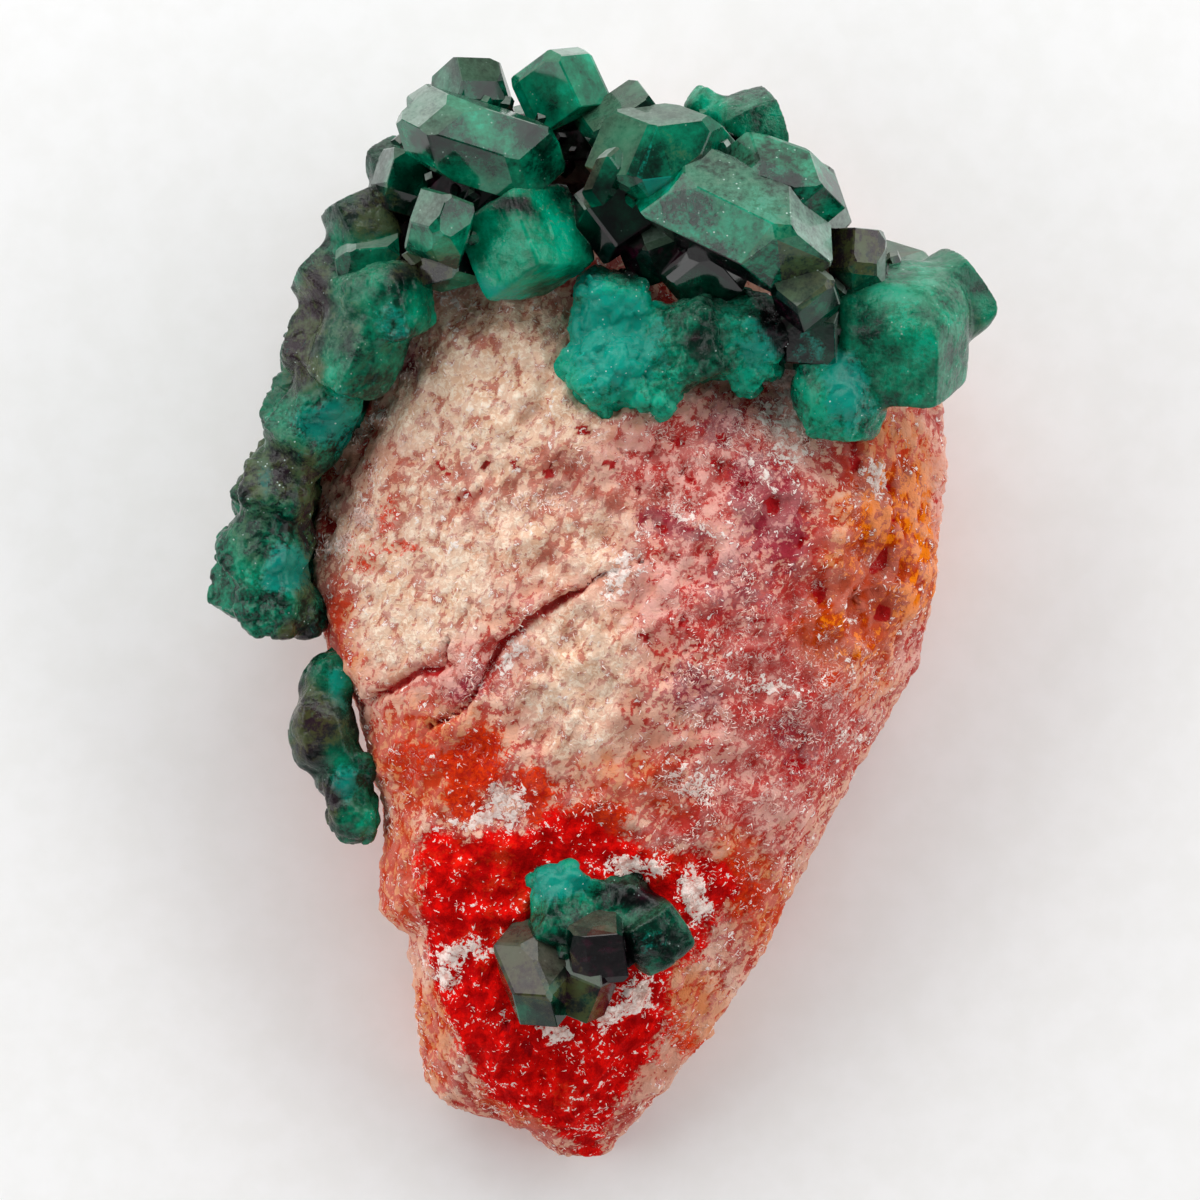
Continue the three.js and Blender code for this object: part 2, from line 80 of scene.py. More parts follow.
def softNoise(points, size, seed):  # chances at the corners of cells, blended smoothly: -1 to 1
    scaled = points / size
    base = np.floor(scaled)
    part = scaled - base
    part = part * part * (3 - 2 * part)
    total = 0
    for corner in itertools.product((0, 1), repeat=3):
        weight = np.prod(np.where(corner, part, 1 - part), axis=-1)
        total = total + weight * cellChance(base + corner, seed)
    return 2 * total - 1


def layeredNoise(points, size, seed, layers=4):  # each layer half as wide and half as high as the last
    heights = [softNoise(points, size / 2**k, seed + 7 * k) / 2**k for k in range(layers)]
    return sum(heights) / 1.4


def cellPattern(points, size, seed):  # distances to the two nearest middles, and the nearest one's chance
    scaled = points / size
    base = np.floor(scaled)
    nearest = np.full(points.shape[:-1], 9.0)
    second = nearest.copy()
    own = np.zeros_like(nearest)
    for corner in itertools.product((-1, 0, 1), repeat=3):
        cell = base + corner
        spot = cell + np.stack([cellChance(cell, seed + k) for k in range(3)], -1)
        away = np.linalg.norm(scaled - spot, axis=-1)
        closer = away < nearest
        second = np.where(closer, nearest, np.minimum(second, away))
        own = np.where(closer, cellChance(cell, seed + 5), own)
        nearest = np.minimum(nearest, away)
    return nearest, second, own


def makeMesh(name, points, faces):
    mesh = bpy.data.meshes.new(name)
    mesh.from_pydata(points.tolist(), [], faces)
    mesh.update()
    return mesh


def arraysOf(items, *names):  # named directions or places of a mesh's faces or corners, in rows of three
    values = np.zeros((len(names), len(items), 3), np.float32)
    for name, value in zip(names, values):
        items.foreach_get(name, value.ravel())
    return values


def makeObject(name, mesh):
    piece = bpy.data.objects.new(name, mesh)
    bpy.context.scene.collection.objects.link(piece)
    return piece


def meshFromRings(name, rings, firstTip, lastTip):  # rings round an axis, closed by a point at each end
    rows, columns = rings.shape[:2]
    points = np.concatenate([rings.reshape(-1, 3), [firstTip], [lastTip]])
    index = np.arange(rows * columns).reshape(rows, columns)
    turned = np.roll(index, -1, axis=1)
    walls = np.stack([index[:-1], turned[:-1], turned[1:], index[1:]], -1).reshape(-1, 4)
    start = np.stack([turned[0], index[0], np.full(columns, rows * columns)], -1)
    finish = np.stack([index[-1], turned[-1], np.full(columns, rows * columns + 1)], -1)
    return makeMesh(name, points, walls.tolist() + start.tolist() + finish.tolist())


def meshFromSolids(name, corners, faces):  # copies of one solid: corners (copies, n, 3), faces (m, 3)
    copies, each = corners.shape[:2]
    every = (np.arange(copies)[:, None, None] * each + faces[None]).reshape(-1, faces.shape[1])
    return makeMesh(name, corners.reshape(-1, 3), every.tolist())


def setAttribute(mesh, name, values, domain="POINT"):
    layer = mesh.attributes.new(name, "FLOAT", domain)
    layer.data.foreach_set("value", np.asarray(values, np.float32).ravel())


def colour(code):  # a colour written as six hex digits, in linear light
    shares = [int(code[k : k + 2], 16) / 255 for k in (0, 2, 4)]
    return [s / 12.92 if s <= 0.04045 else ((s + 0.055) / 1.055) ** 2.4 for s in shares] + [1]


class Signal:  # one value in a material, which can be added, multiplied and so on
    def __init__(self, finish, socket):
        self.finish, self.socket = finish, socket

    def __add__(self, other):
        return self.finish.maths("ADD", self, other)

    def __sub__(self, other):
        return self.finish.maths("SUBTRACT", self, other)

    def __rsub__(self, other):
        return self.finish.maths("SUBTRACT", other, self)

    def __mul__(self, other):
        return self.finish.maths("MULTIPLY", self, other)

    __radd__ = __add__
    __rmul__ = __mul__

    def within(self, low, high):  # 0 below low, 1 above high, an S curve between
        values = {"Value": self, "From Min": low, "From Max": high}
        return self.finish.node("ShaderNodeMapRange", {"interpolation_type": "SMOOTHSTEP"}, values)


class Finish:  # a material being made
    def __init__(self, name):
        self.material = bpy.data.materials.new(name)
        self.material.use_nodes = True
        self.tree = self.material.node_tree
        self.tree.nodes.clear()
        self.place = self.node("ShaderNodeTexCoord", output="Object")

    def node(self, kind, settings=None, values=None, output=0):  # values go on sockets, or link them
        made = self.tree.nodes.new(kind)
        for name, setting in (settings or {}).items():
            if name == "stops":
                ramp = made.color_ramp
                while len(ramp.elements) < len(setting):
                    ramp.elements.new(0.5)
                for stop, (at, shade) in zip(ramp.elements, setting):
                    stop.position, stop.color = at, colour(shade)
            else:
                setattr(made, name, setting)
        for name, value in (values or {}).items():
            socket = made.inputs[name]
            if isinstance(value, Signal):
                self.tree.links.new(value.socket, socket)
            else:
                socket.default_value = value
        return Signal(self, made.outputs[output])

    def maths(self, operation, *values):
        return self.node("ShaderNodeMath", {"operation": operation}, dict(enumerate(values)))

    def mix(self, share, first, second):
        shades = [colour(s) if isinstance(s, str) else s for s in (first, second)]
        values = {0: share, 6: shades[0], 7: shades[1]}
        return self.node("ShaderNodeMix", {"data_type": "RGBA"}, values, output=2)

    def noise(self, size, detail, roughness=0.55, distortion=0):  # size in millimetres
        values = {"Scale": 1000 / size, "Detail": detail, "Roughness": roughness, "Distortion": distortion}
        return self.node("ShaderNodeTexNoise", None, {"Vector": self.place, **values})

    def cells(self, size):  # distance to the nearest cell's middle, size in millimetres
        return self.node("ShaderNodeTexVoronoi", None, {"Vector": self.place, "Scale": 1000 / size})

    def attribute(self, name):
        return self.node("ShaderNodeAttribute", {"attribute_name": name}, output="Fac")

    def bump(self, height, depth):  # depth in millimetres for a height from 0 to 1
        return self.node("ShaderNodeBump", None, {"Strength": 1, "Distance": depth * mm, "Height": height})

    def principled(self, values):
        return self.node("ShaderNodeBsdfPrincipled", None, values)

    def close(self, surface, volume=None):
        links = {"Surface": surface}
        if volume:
            links["Volume"] = volume
        made = self.tree.nodes.new("ShaderNodeOutputMaterial")
        for name, value in links.items():
            self.tree.links.new(value.socket, made.inputs[name])
        return self.material


rock = {
    "leftEdge": [
        [-40.4, -3.2], [-38.3, -5.4], [-37.2, -8.6], [-36.2, -11.4], [-34.3, -12.9], [-29.9, -13.3],
        [-23.9, -13.8], [-22.4, -15.9], [-20, -16.1], [-17.4, -15.7], [-14.1, -15.9], [-11.5, -16.8],
        [-7.9, -17.5], [-4.9, -19.2], [0.1, -20.6], [8.6, -20.3], [15, -19], [21, -16.5], [26, -12.5],
        [30, -7], [32, -2.5],
    ],
    "rightEdge": [
        [-40.4, -0.4], [-37.4, 2.4], [-34.1, 5.2], [-30.1, 8.4], [-25.8, 11.2], [-19.9, 14.1], [-16.5, 15.9],
        [-11.9, 18.2], [-7.6, 20.9], [-5.1, 22.7], [1.9, 24], [9.6, 24.4], [14.4, 24.6], [19, 21.5], [24, 17],
        [28.5, 11], [32, 2.5],
    ],
    "crest": [
        [-40.4, 5.4], [-37, 9.5], [-32, 12.5], [-24, 15], [-12, 18.2], [0, 20.6], [10, 21.6], [19, 21],
        [23, 18.5], [28, 14], [32, 9],
    ],
    "start": -40.4,
    "end": 32.0,
    "beltShare": 0.36,
    "undercut": 0.1,
    "faceShare": 0.68,
    "roundness": [0.62, 0.6],  # the powers of |cos| and |sin|
    # swellings and hollows of the face: x, y, reach, height
    "swellings": [
        [-14, 2.5, 6.5, 1.5], [-10.5, -13.5, 4.5, -0.8], [-12.5, -17.5, 3, 0.9], [-7, 8.5, 2.6, -1],
        [-1.5, 12, 3.4, 0.9], [4.5, 9.5, 2.8, -0.9], [3.5, -4, 5.5, 1.1], [11, 4, 5, 0.7],
        [19.9, 3, 1.9, -1.9], [15.7, 0.6, 1.5, -1.3], [20.3, -1.6, 1.6, -1.4], [12.5, -12, 4, -0.7],
        [-8, -31, 3.2, 0.8], [-5, -33, 1.6, -1], [2, -31, 2.6, -0.7],
    ],
    "lumpHeight": 0.75,
    "lumpSpacing": 5.2,
    # the ragged surface: widths and heights in millimetres
    "swell": [4.6, 0.3],
    "block": [1.9, 0.14, 0.54],  # width, height, and height added where the face is blocky
    "grain": [0.95, 0.22, 0.2],  # width, height of a grain's dome and of the steps between grains
    "sand": [0.55, 0.1, 0.08],
    "crumb": [1.1, 0.2],
    "groove": [0.02, 0.2],  # how much nearer a grain's own middle is than the next, in a groove and out of it
    "pitDepth": 0.3,
    "frostHeight": 0.12,
    # where the face is blocky, as spots: x, y, half width, half height and strength
    "blockyPlaces": [
        [-6.5, 9, 6.5, 3.6, 1], [4.5, 10, 6.5, 4, 1], [18.5, 3, 5, 6.5, 0.9], [-3, 15, 5, 4, 0.5],
        [12, 8, 5, 5, 0.7],
    ],
    "core": [0, -4, 6],
    "leastShare": 0.5,
    # broken facets: heading, rise and distance from the core
    "facets": [
        [-28, 24, 19.4], [-47, 48, 18.4], [8, 40, 23.6], [168, 36, 21], [207, 30, 21.6], [196, -24, 19.9],
        [187, 62, 16.4], [-70, 30, 28], [-118, 34, 28], [60, 58, 22], [-38, -30, 21.4],
    ],
    "step": {"edge": 17.6, "drop": 2.6, "start": -7.0, "end": 13.0},
    "cracks": [
        [
            [-12.4, -9], [-9.4, -7.2], [-7.8, -4.8], [-7.2, -3.4], [-5.4, -2], [-2.9, -0.2], [-0.3, 1.6],
            [2.7, 2.9],
        ],
        [[-18.2, -8.1], [-15.6, -6.6], [-13.1, -5.0], [-10.6, -4.6]],
        [[-11.0, -5.1], [-11.2, -3.8], [-10.8, -2.6]],
    ],
    "crackWidth": [0.62, 0.5, 0.24],
    "crackDepth": 1.0,
    "columns": 372,
    "rows": 240,
    "endRings": 10,  # drawn in towards the middle of each end
    "backShare": 0.3,  # how densely the flat back is meshed, against the face
}


def relief(x, y):  # swellings as bell curves, crossed ridges of sines, and the drop to the right of the step
    height = sum(h * np.exp(-((x - u) ** 2 + (y - v) ** 2) / r**2) for u, v, r, h in rock["swellings"])
    wave = math.pi / rock["lumpSpacing"]
    ridge = lambda overX, overY, turn: np.abs(np.sin(wave * (overX * x + overY * y) + turn))
    height = height + rock["lumpHeight"] * (0.6 - ridge(0.9, 0.5, 0.4) * ridge(0.5, -1.0, 1))
    height = height + 0.5 * rock["lumpHeight"] * (0.6 - ridge(1.9, -1.3, 2) * ridge(0.7, 2.1, 0))
    step = rock["step"]
    ragged = step["edge"] + 0.6 * np.sin(1.3 * y) + 0.3 * np.sin(3.1 * y)
    beyond = smoothShare(ragged - 0.4, ragged + 0.9, x)
    within = smoothShare(step["start"], step["start"] + 5, y)
    within = within * (1 - smoothShare(step["end"], step["end"] + 3, y))
    return height - step["drop"] * beyond * within


def courseAt(place, course):  # a broken line's height at a place along it
    return np.interp(place, *np.array(course).T)


def rockSkin(around, along):  # a section of |cos| and |sin| raised to powers, carried along Y
    y = rock["start"] + (rock["end"] - rock["start"]) * (0.5 - 0.5 * np.cos(np.pi * along))
    left, right, height = (courseAt(y, rock[name]) for name in ("leftEdge", "rightEdge", "crest"))
    belt = rock["beltShare"] * height
    onFace = around <= rock["faceShare"]
    angle = np.where(
        onFace,
        np.pi * around / rock["faceShare"],
        np.pi * (1 + (around - rock["faceShare"]) / (1 - rock["faceShare"])),
    )
    across = np.sign(np.cos(angle)) * np.abs(np.cos(angle)) ** rock["roundness"][0]
    raised = np.abs(np.sin(angle)) ** rock["roundness"][1]
    halfWidth = 0.5 * (right - left) * np.where(onFace, 1, 1 - rock["undercut"] * raised)
    x = 0.5 * (left + right) - halfWidth * across
    top = belt + (height - belt) * raised + relief(x, y) * raised**3
    points = np.stack([x, y, np.where(onFace, top, belt * (1 - 1.3 * raised))], -1)
    middle = np.stack([0.5 * (left + right), y, belt], -1) + 0 * points
    share = np.ones_like(x)
    for heading, rise, distance in rock["facets"]:
        turn, lift = math.radians(heading), math.radians(rise)
        normal = np.array([math.cos(lift) * math.cos(turn), math.cos(lift) * math.sin(turn), math.sin(lift)])
        room = distance - (middle - rock["core"]) @ normal
        reach = (points - middle) @ normal
        cut = np.maximum(room / np.where(reach > 0.01, reach, 1), rock["leastShare"])
        share = np.where(reach > np.maximum(room, 0.01), np.minimum(share, cut), share)
    points = middle + share[..., None] * (points - middle)
    points[..., 2] = np.maximum(points[..., 2], 0)
    return points


def evenSteps(lengths, count):  # places that share a path, given the lengths of its parts, into equal steps
    travelled = np.concatenate([[0], np.cumsum(lengths)])
    places = np.linspace(0, 1, len(travelled))
    return np.interp(np.linspace(0, travelled[-1], count), travelled, places)


def rockGrid():  # the skin at places spaced evenly over its surface
    fine = np.linspace(0, 1, 1201)
    sample = rockSkin(*np.meshgrid(fine, np.linspace(0.15, 0.85, 24)))
    gaps = np.linalg.norm(np.diff(sample, axis=1), axis=-1)
    flat = (sample[:, 1:, 2] < 0.01) & (sample[:, :-1, 2] < 0.01)
    gaps = gaps * np.where(flat, rock["backShare"], 1)
    aroundSteps = evenSteps(gaps.mean(0), rock["columns"] + 1)[:-1]
    sample = rockSkin(*np.meshgrid(np.linspace(0.05, 0.63, 24), fine))
    alongSteps = evenSteps(np.linalg.norm(np.diff(sample, axis=0), axis=-1).mean(1), rock["rows"])
    grid = rockSkin(*np.meshgrid(aroundSteps, alongSteps[1:-1]))
    inward = np.linspace(1, 0, rock["endRings"] + 2)[1:-1, None, None]
    first, last = (end.mean(0) + inward * (end - end.mean(0)) for end in (grid[0], grid[-1]))
    return np.concatenate([first[::-1], grid, last])


def outwardNormals(grid):  # the cross product of the two directions over the skin
    over = np.roll(grid, -1, axis=1) - np.roll(grid, 1, axis=1)
    down = np.gradient(grid, axis=0)
    normal = np.cross(over, down)
    normal /= np.maximum(np.linalg.norm(normal, axis=-1, keepdims=True), 1e-9)
    outward = np.sum(normal * (grid - grid.mean(1, keepdims=True)), axis=-1).mean()
    return normal if outward > 0 else -normal


def courseDistance(x, y, course):  # distance in plan to a broken line, and the share of the way along it
    best = np.full(x.shape, 99.0)
    place = np.zeros(x.shape)
    count = len(course) - 1
    for k, ((ax, ay), (bx, by)) in enumerate(zip(course, course[1:])):
        length = math.hypot(bx - ax, by - ay)
        share = np.clip(((x - ax) * (bx - ax) + (y - ay) * (by - ay)) / length**2, 0, 1)
        away = np.hypot(x - ax - share * (bx - ax), y - ay - share * (by - ay))
        place = np.where(away < best, (k + share) / count, place)
        best = np.minimum(best, away)
    return best, place


def blobs(x, y, spots):  # flat-topped soft spots, the exponential of minus the cube of the distance
    total = np.zeros_like(x)
    for u, v, wide, high, strength, *turn in spots:
        angle = math.radians(sum(turn))
        c, s = math.cos(angle), math.sin(angle)
        a, b = (x - u) * c + (y - v) * s, (y - v) * c - (x - u) * s
        total = np.maximum(total, strength * np.exp(-(((a / wide) ** 2 + (b / high) ** 2) ** 1.5)))
    return total


# Stains on the face. A spot is x, y, half width, half height, strength, and a turn in degrees where needed.
stains = {
    "cream": [
        [-7.5, 14, 8.5, 9.5, 1], [-13.5, 2, 7, 8, 0.95], [-4, 5, 8, 4.5, 0.8], [-2, -4.5, 5, 6, 0.85, -20],
        [0.5, 6.5, 4.5, 2.6, 0.6], [-1.5, -10, 4.5, 3, 0.6],
    ],
    "pink": [
        [8, 9.5, 9, 6, 0.95], [8, 1, 8, 7, 0.8], [13, -7, 8, 7, 0.95], [10, -14, 7, 6, 0.8],
        [-9.5, -5, 6, 2.2, 0.8, 20], [-13.5, 10, 4, 2, 0.35], [24, 8, 1.6, 8, 0.7], [22.5, -4, 2.4, 5, 0.7],
    ],
    "purple": [
        [11.8, 6.5, 2.8, 4.8, 0.85, 15], [5, 5.4, 3.4, 1.4, 0.75, -12], [8.6, 12.2, 2.4, 2.2, 0.7],
        [12.4, 13.6, 2, 2.6, 0.6], [14, -10, 4, 3.5, 0.5, -50], [9.6, 1, 4, 4, 0.5],
        [6.4, -6.4, 3.2, 2.2, 0.6], [-14, 17, 1.6, 1.4, 0.8], [-9.6, -6, 2.6, 1.2, 0.7, 30],
    ],
    "ochre": [
        [20.4, 3.6, 3.8, 5.4, 1.4, 10], [17.4, -2, 4.2, 3.2, 1.2, 15], [18.6, 0.6, 2.8, 3.4, 1],
        [21.2, 7.8, 2.2, 2.6, 1],
    ],
    "salmon": [
        [20.8, 10, 3.6, 4.4, 0.95], [-12, -11, 5.5, 4.5, 1.1], [16.4, 4, 2, 4, 0.8], [11, -21, 3, 7, 0.9, 32],
        [-14.4, -19, 2.4, 4.6, 0.95], [2, -13, 6, 3.4, 0.7], [-12.2, -31, 1.8, 5, 0.9],
        [7, -29.5, 2.6, 6, 0.9, 30], [-6, -36.6, 4, 1.4, 0.8, -20], [-18.4, -2, 1.6, 5, 0.7, 10],
        [18, -5.6, 4, 2, 0.7],
    ],
    "orange": [
        [-13.2, -11, 2.4, 2.2, 0.66], [-9.1, -11.1, 2.8, 2.4, 1.1], [-4.9, -13.4, 1.6, 2.4, 0.95],
        [-9.6, -14.4, 1.8, 1.6, 0.9], [-1, -15.6, 4, 1.8, 0.95], [-17, 3.2, 1.7, 1.7, 0.5, 40],
        [-14.2, 3.7, 3, 0.9, 0.5, -12], [-15.4, 6.3, 1.2, 2.2, 0.48, -40], [9.4, -20, 1.8, 3.2, 0.8, 30],
        [-10, -30, 1.4, 3, 0.6], [5.6, -31, 1.4, 3.4, 0.6, 30],
    ],
    "rust": [
        [8, 9, 9, 5.5, 0.5], [12.5, 6, 3.6, 5.5, 0.74, 10], [12, -3, 9, 6, 0.76],
        [13.5, -9.5, 6.5, 5, 0.86, -40], [7.5, -13.5, 7, 5, 0.66], [5.5, -5, 5, 6, 0.46],
        [-13, -10.5, 6, 3.2, 0.7], [-8, -13.5, 7, 3.5, 0.66], [10.5, -21, 3.4, 8, 0.56, 30],
        [-14, -19, 3.2, 5, 0.56], [-3, -37, 9, 3, 0.66], [-9, -5.6, 5.5, 1.6, 0.52, 20],
        [-19.6, -1.5, 1.2, 6, 0.6], [18.5, 1.5, 4, 5.5, 0.7], [18.4, 10, 1.3, 3.2, 0.75],
        [-10.4, 8.6, 4.6, 1.6, 0.34], [-2, 9.6, 4, 1.6, 0.34], [0.5, 20.8, 3.6, 2.6, 0.8],
        [1, -14, 7, 2.4, 0.62], [-12, -32, 2.4, 5, 0.42], [20.6, 9, 2.6, 4, 0.45],
    ],
    "frost": [
        [-6.7, -14.4, 1.5, 1.6, 1, 20], [-9, -15.6, 1.8, 0.7, 0.95, 8], [-10.1, -25, 2.2, 0.8, 1, 12],
        [-11.2, -26.4, 1, 1, 0.9], [1.9, -18.7, 2.7, 0.8, 1, -10], [6.6, -21.2, 1.2, 2.2, 1, 20],
        [2.5, -27.8, 2, 1.3, 1, 50], [0.4, -29.4, 1.4, 0.7, 1, 30], [-3.1, -30.8, 1.2, 0.9, 1],
        [1.2, 1.8, 0.9, 1.7, 1, -38], [-6.2, -3.8, 0.8, 1.4, 0.6, -40], [12.9, 15.8, 1.7, 1.1, 1, -30],
        [13, 12.2, 2.2, 3.2, 0.6], [-17.6, 12.6, 2, 0.8, 0.95, 40], [6.6, 5.6, 1.8, 0.5, 0.8, -25],
        [-17, 6, 0.7, 0.6, 0.9], [-19, 3.9, 1.2, 0.5, 0.8, 20], [-11, 21.4, 1.6, 1, 0.75],
        [7, -13, 2.6, 1.2, 0.55, -35], [19, 8.6, 0.9, 1.2, 0.75], [11.6, 8.4, 0.6, 1, 0.7],
        [12, -6.2, 3, 1, 0.5, -10], [17.6, -9.4, 2.4, 1, 0.5, -40], [-4.8, 7, 1.6, 0.6, 0.5, 10],
    ],
}
# Single dark red holes, as spots.
holes = [
    [-1.3, 11.9, 0.55, 0.3, 1, 10], [0.6, 9.5, 0.4, 0.3, 1], [5.3, 11.3, 0.5, 0.3, 1, -20],
    [6, 8.7, 0.6, 0.25, 1, -25], [7.9, 9.6, 0.45, 0.85, 1, 25], [2.5, 7.9, 0.35, 0.3, 0.9],
    [10, 8.2, 0.5, 0.45, 1, 30], [8.5, 11.5, 0.4, 0.5, 1, -30], [12, 6.5, 0.7, 0.8, 0.9, -30],
    [14, 4.2, 0.7, 0.3, 0.9], [4.2, 5.1, 0.35, 0.5, 0.9, 20], [2.9, -2.4, 0.4, 0.4, 0.9],
    [5.7, -1.4, 0.4, 0.9, 0.8, 10], [6.4, -3.3, 0.9, 0.25, 0.8, 10], [11.1, -1.4, 1, 0.25, 0.9, 5],
    [12.6, -3.5, 0.3, 0.7, 0.8], [15.3, 0.7, 0.6, 0.6, 1, 20], [19.8, 2.7, 0.5, 1.1, 1, -35],
    [20, -1, 0.5, 0.7, 1, -30], [20.9, 5.8, 0.5, 0.3, 0.9, 30], [17.9, 10.4, 0.5, 1.6, 1, 5],
    [20.6, 8.1, 0.3, 0.5, 0.9, 20], [13.8, -11.6, 0.8, 0.7, 1], [12.8, -6.7, 0.6, 0.4, 0.8, 20],
    [20.5, -7, 0.7, 0.4, 0.9, 50], [-9.5, 7.6, 1.2, 0.22, 1, 20], [-11.2, 9.3, 0.9, 0.2, 0.9, -35],
    [-8, 9.4, 0.6, 0.2, 0.9, 25], [-9.2, 10.9, 0.25, 0.3, 0.9], [-6.2, 9.4, 0.4, 0.3, 0.9, -15],
    [-3.7, 8.9, 0.6, 0.5, 0.9], [-19.4, 5.3, 0.7, 0.8, 0.8, 30], [-6.7, -30.5, 0.6, 0.7, 0.9, -30],
    [-5.2, -32, 0.5, 0.6, 0.8], [-12, -5, 0.9, 0.3, 0.8, 30], [0.8, 0.6, 0.5, 0.3, 0.6],
]
# The red stain's edges: along Y for the left and the right, and along X for the top.
redEdges = {
    "left": [
        [-39, -2.6], [-37.2, -4.6], [-35.8, -8.3], [-31.7, -10.2], [-29.6, -11.2], [-26.7, -12.3],
        [-22.6, -13.3], [-19.3, -12.8], [-16.8, -12.4],
    ],
    "right": [
        [-39, 0], [-36.2, 1.5], [-33.3, 3.6], [-30.6, 4.8], [-27.5, 5.3], [-25.5, 6.7], [-23.4, 7.7],
        [-20.4, 9.6], [-18.5, 8.8],
    ],
    "top": [
        [-13, -15.8], [-9.9, -16.6], [-5.5, -15.8], [-3.6, -14.6], [-1.3, -15], [0.1, -16.2], [3.6, -17.7],
        [6.7, -17.7], [8.8, -18.5],
    ],
}


def redShare(x, y):  # how far inside the red stain's left, right and upper edges a place is, 0 to 1 over 2 mm
    inside = np.minimum(x - courseAt(y, redEdges["left"]), courseAt(y, redEdges["right"]) - x)
    inside = np.minimum(inside, courseAt(x, redEdges["top"]) - y)
    return np.clip(0.5 + 0.5 * inside, 0, 1)


def rockPits(grid, upward, blocky, nearBlock):  # the corners between blocks, and the single holes, 0 to 1
    x, y, _ = np.moveaxis(grid, -1, 0)
    corners = 0.7 * smoothShare(0.76, 0.95, nearBlock)
    corners = corners * smoothShare(0.2, 0.7, blocky + 0.5 * layeredNoise(grid, 6, 40, 2))
    ragged = 0.35 * layeredNoise(grid, 0.8, 42, 2)
    return np.maximum(corners, smoothShare(0.35, 0.6, blobs(x + ragged, y - ragged, holes)) * upward)


def rockCracks(grid, upward):  # 1 in the middle of a crack and 0 beside it, each crack narrow at its ends
    x, y, _ = np.moveaxis(grid, -1, 0)
    wander = 0.35 * layeredNoise(grid, 1.6, 51, 2)
    crack = np.zeros_like(x)
    for course, width in zip(rock["cracks"], rock["crackWidth"]):
        away, place = courseDistance(x + wander, y + 0.6 * wander, course)
        half = 0.5 * width * (0.25 + 0.75 * np.sin(np.pi * np.clip(place, 0.02, 0.98)))
        crack = np.maximum(crack, (1 - smoothShare(half * 0.4, half * 1.5 + 0.12, away)) * upward)
    return crack


def makeRock(shift):  # the skin moved along its normals by swells, blocks, grains, pits, cracks and frost
    grid = rockGrid()
    normals = outwardNormals(grid)
    x, y, z = np.moveaxis(grid, -1, 0)
    free = smoothShare(0.1, 2.5, z)  # the back stays flat
    upward = smoothShare(0.1, 0.6, normals[..., 2])
    blocky = np.clip(blobs(x, y, rock["blockyPlaces"]) + 0.35 * (1 - upward) + 0.12, 0, 1)
    swellSize, swellHeight = rock["swell"]
    blockSize, blockHeight, blockMore = rock["block"]
    grainSize, grainDome, grainStep = rock["grain"]
    sandSize, sandDome, sandStep = rock["sand"]
    crumbSize, crumbHeight = rock["crumb"]
    nearBlock, nextBlock, block = cellPattern(grid + 0.5 * softNoise(grid, 1.4, 8)[..., None], blockSize, 11)
    nearGrain, nextGrain, grain = cellPattern(grid + 0.2 * softNoise(grid, 0.7, 9)[..., None], grainSize, 23)
    nearSand, _, sand = cellPattern(grid, sandSize, 31)
    blockTop = smoothShare(*rock["groove"], nextBlock - nearBlock)
    grainTop = smoothShare(*rock["groove"], nextGrain - nearGrain)
    seam = np.maximum(1 - blockTop, 0.8 - 0.8 * grainTop)
    pit = rockPits(grid, upward, blocky, nearBlock)
    crack = rockCracks(grid, upward)
    height = swellHeight * layeredNoise(grid, swellSize, 3, 3)
    height = height + (blockHeight + blockMore * blocky) * (block - 0.5) * blockTop
    height = height + grainDome * (0.5 - nearGrain) + grainStep * (grain - 0.5)
    height = height + sandDome * (0.5 - nearSand) + sandStep * (sand - 0.5)
    height = height + crumbHeight * layeredNoise(grid, crumbSize, 45, 3)
    height = height - rock["pitDepth"] * pit
    height = height - rock["crackDepth"] * crack
    frost = blobs(x + 0.5 * softNoise(grid, 1.1, 61), y + 0.5 * softNoise(grid, 1.1, 62), stains["frost"])
    frost = frost * upward
    crust = smoothShare(0.45, 0.7, frost + 0.6 * layeredNoise(grid, 0.9, 66, 2))
    height = height + rock["frostHeight"] * crust
    moved = grid + (height * free)[..., None] * normals
    moved[..., 2] = np.maximum(moved[..., 2], 0)
    moved = np.clip(moved, np.array(cadLow) / mm - shift, np.array(cadHigh) / mm - shift)
    tips = [(end.mean(0) + shift) * mm for end in (moved[0], moved[-1])]
    mesh = meshFromRings("rockMesh", (moved + shift) * mm, *tips)
    wobble = 0.9 * layeredNoise(grid, 2.6, 71, 3)
    fields = {name: blobs(x + wobble, y - wobble, spots) for name, spots in stains.items() if name != "frost"}
    fields.update(
        frost=frost, pit=np.maximum(pit, crack), grain=grain, seam=seam,
        red=redShare(x + wobble, y - 0.7 * wobble) * (0.4 + 0.6 * upward),
        # low: how far the displacement lowers the skin, cracks left out; the finish lays painted shade there
        low=np.clip(0.5 - 0.9 * (height + rock["crackDepth"] * crack), 0, 1),
    )
    for name, field in fields.items():
        setAttribute(mesh, name, np.concatenate([field.ravel(), [field[0].mean(), field[-1].mean()]]))
    mesh.polygons.foreach_set("use_smooth", np.ones(len(mesh.polygons), bool))
    return makeObject("rock", mesh), moved + shift, normals, fields


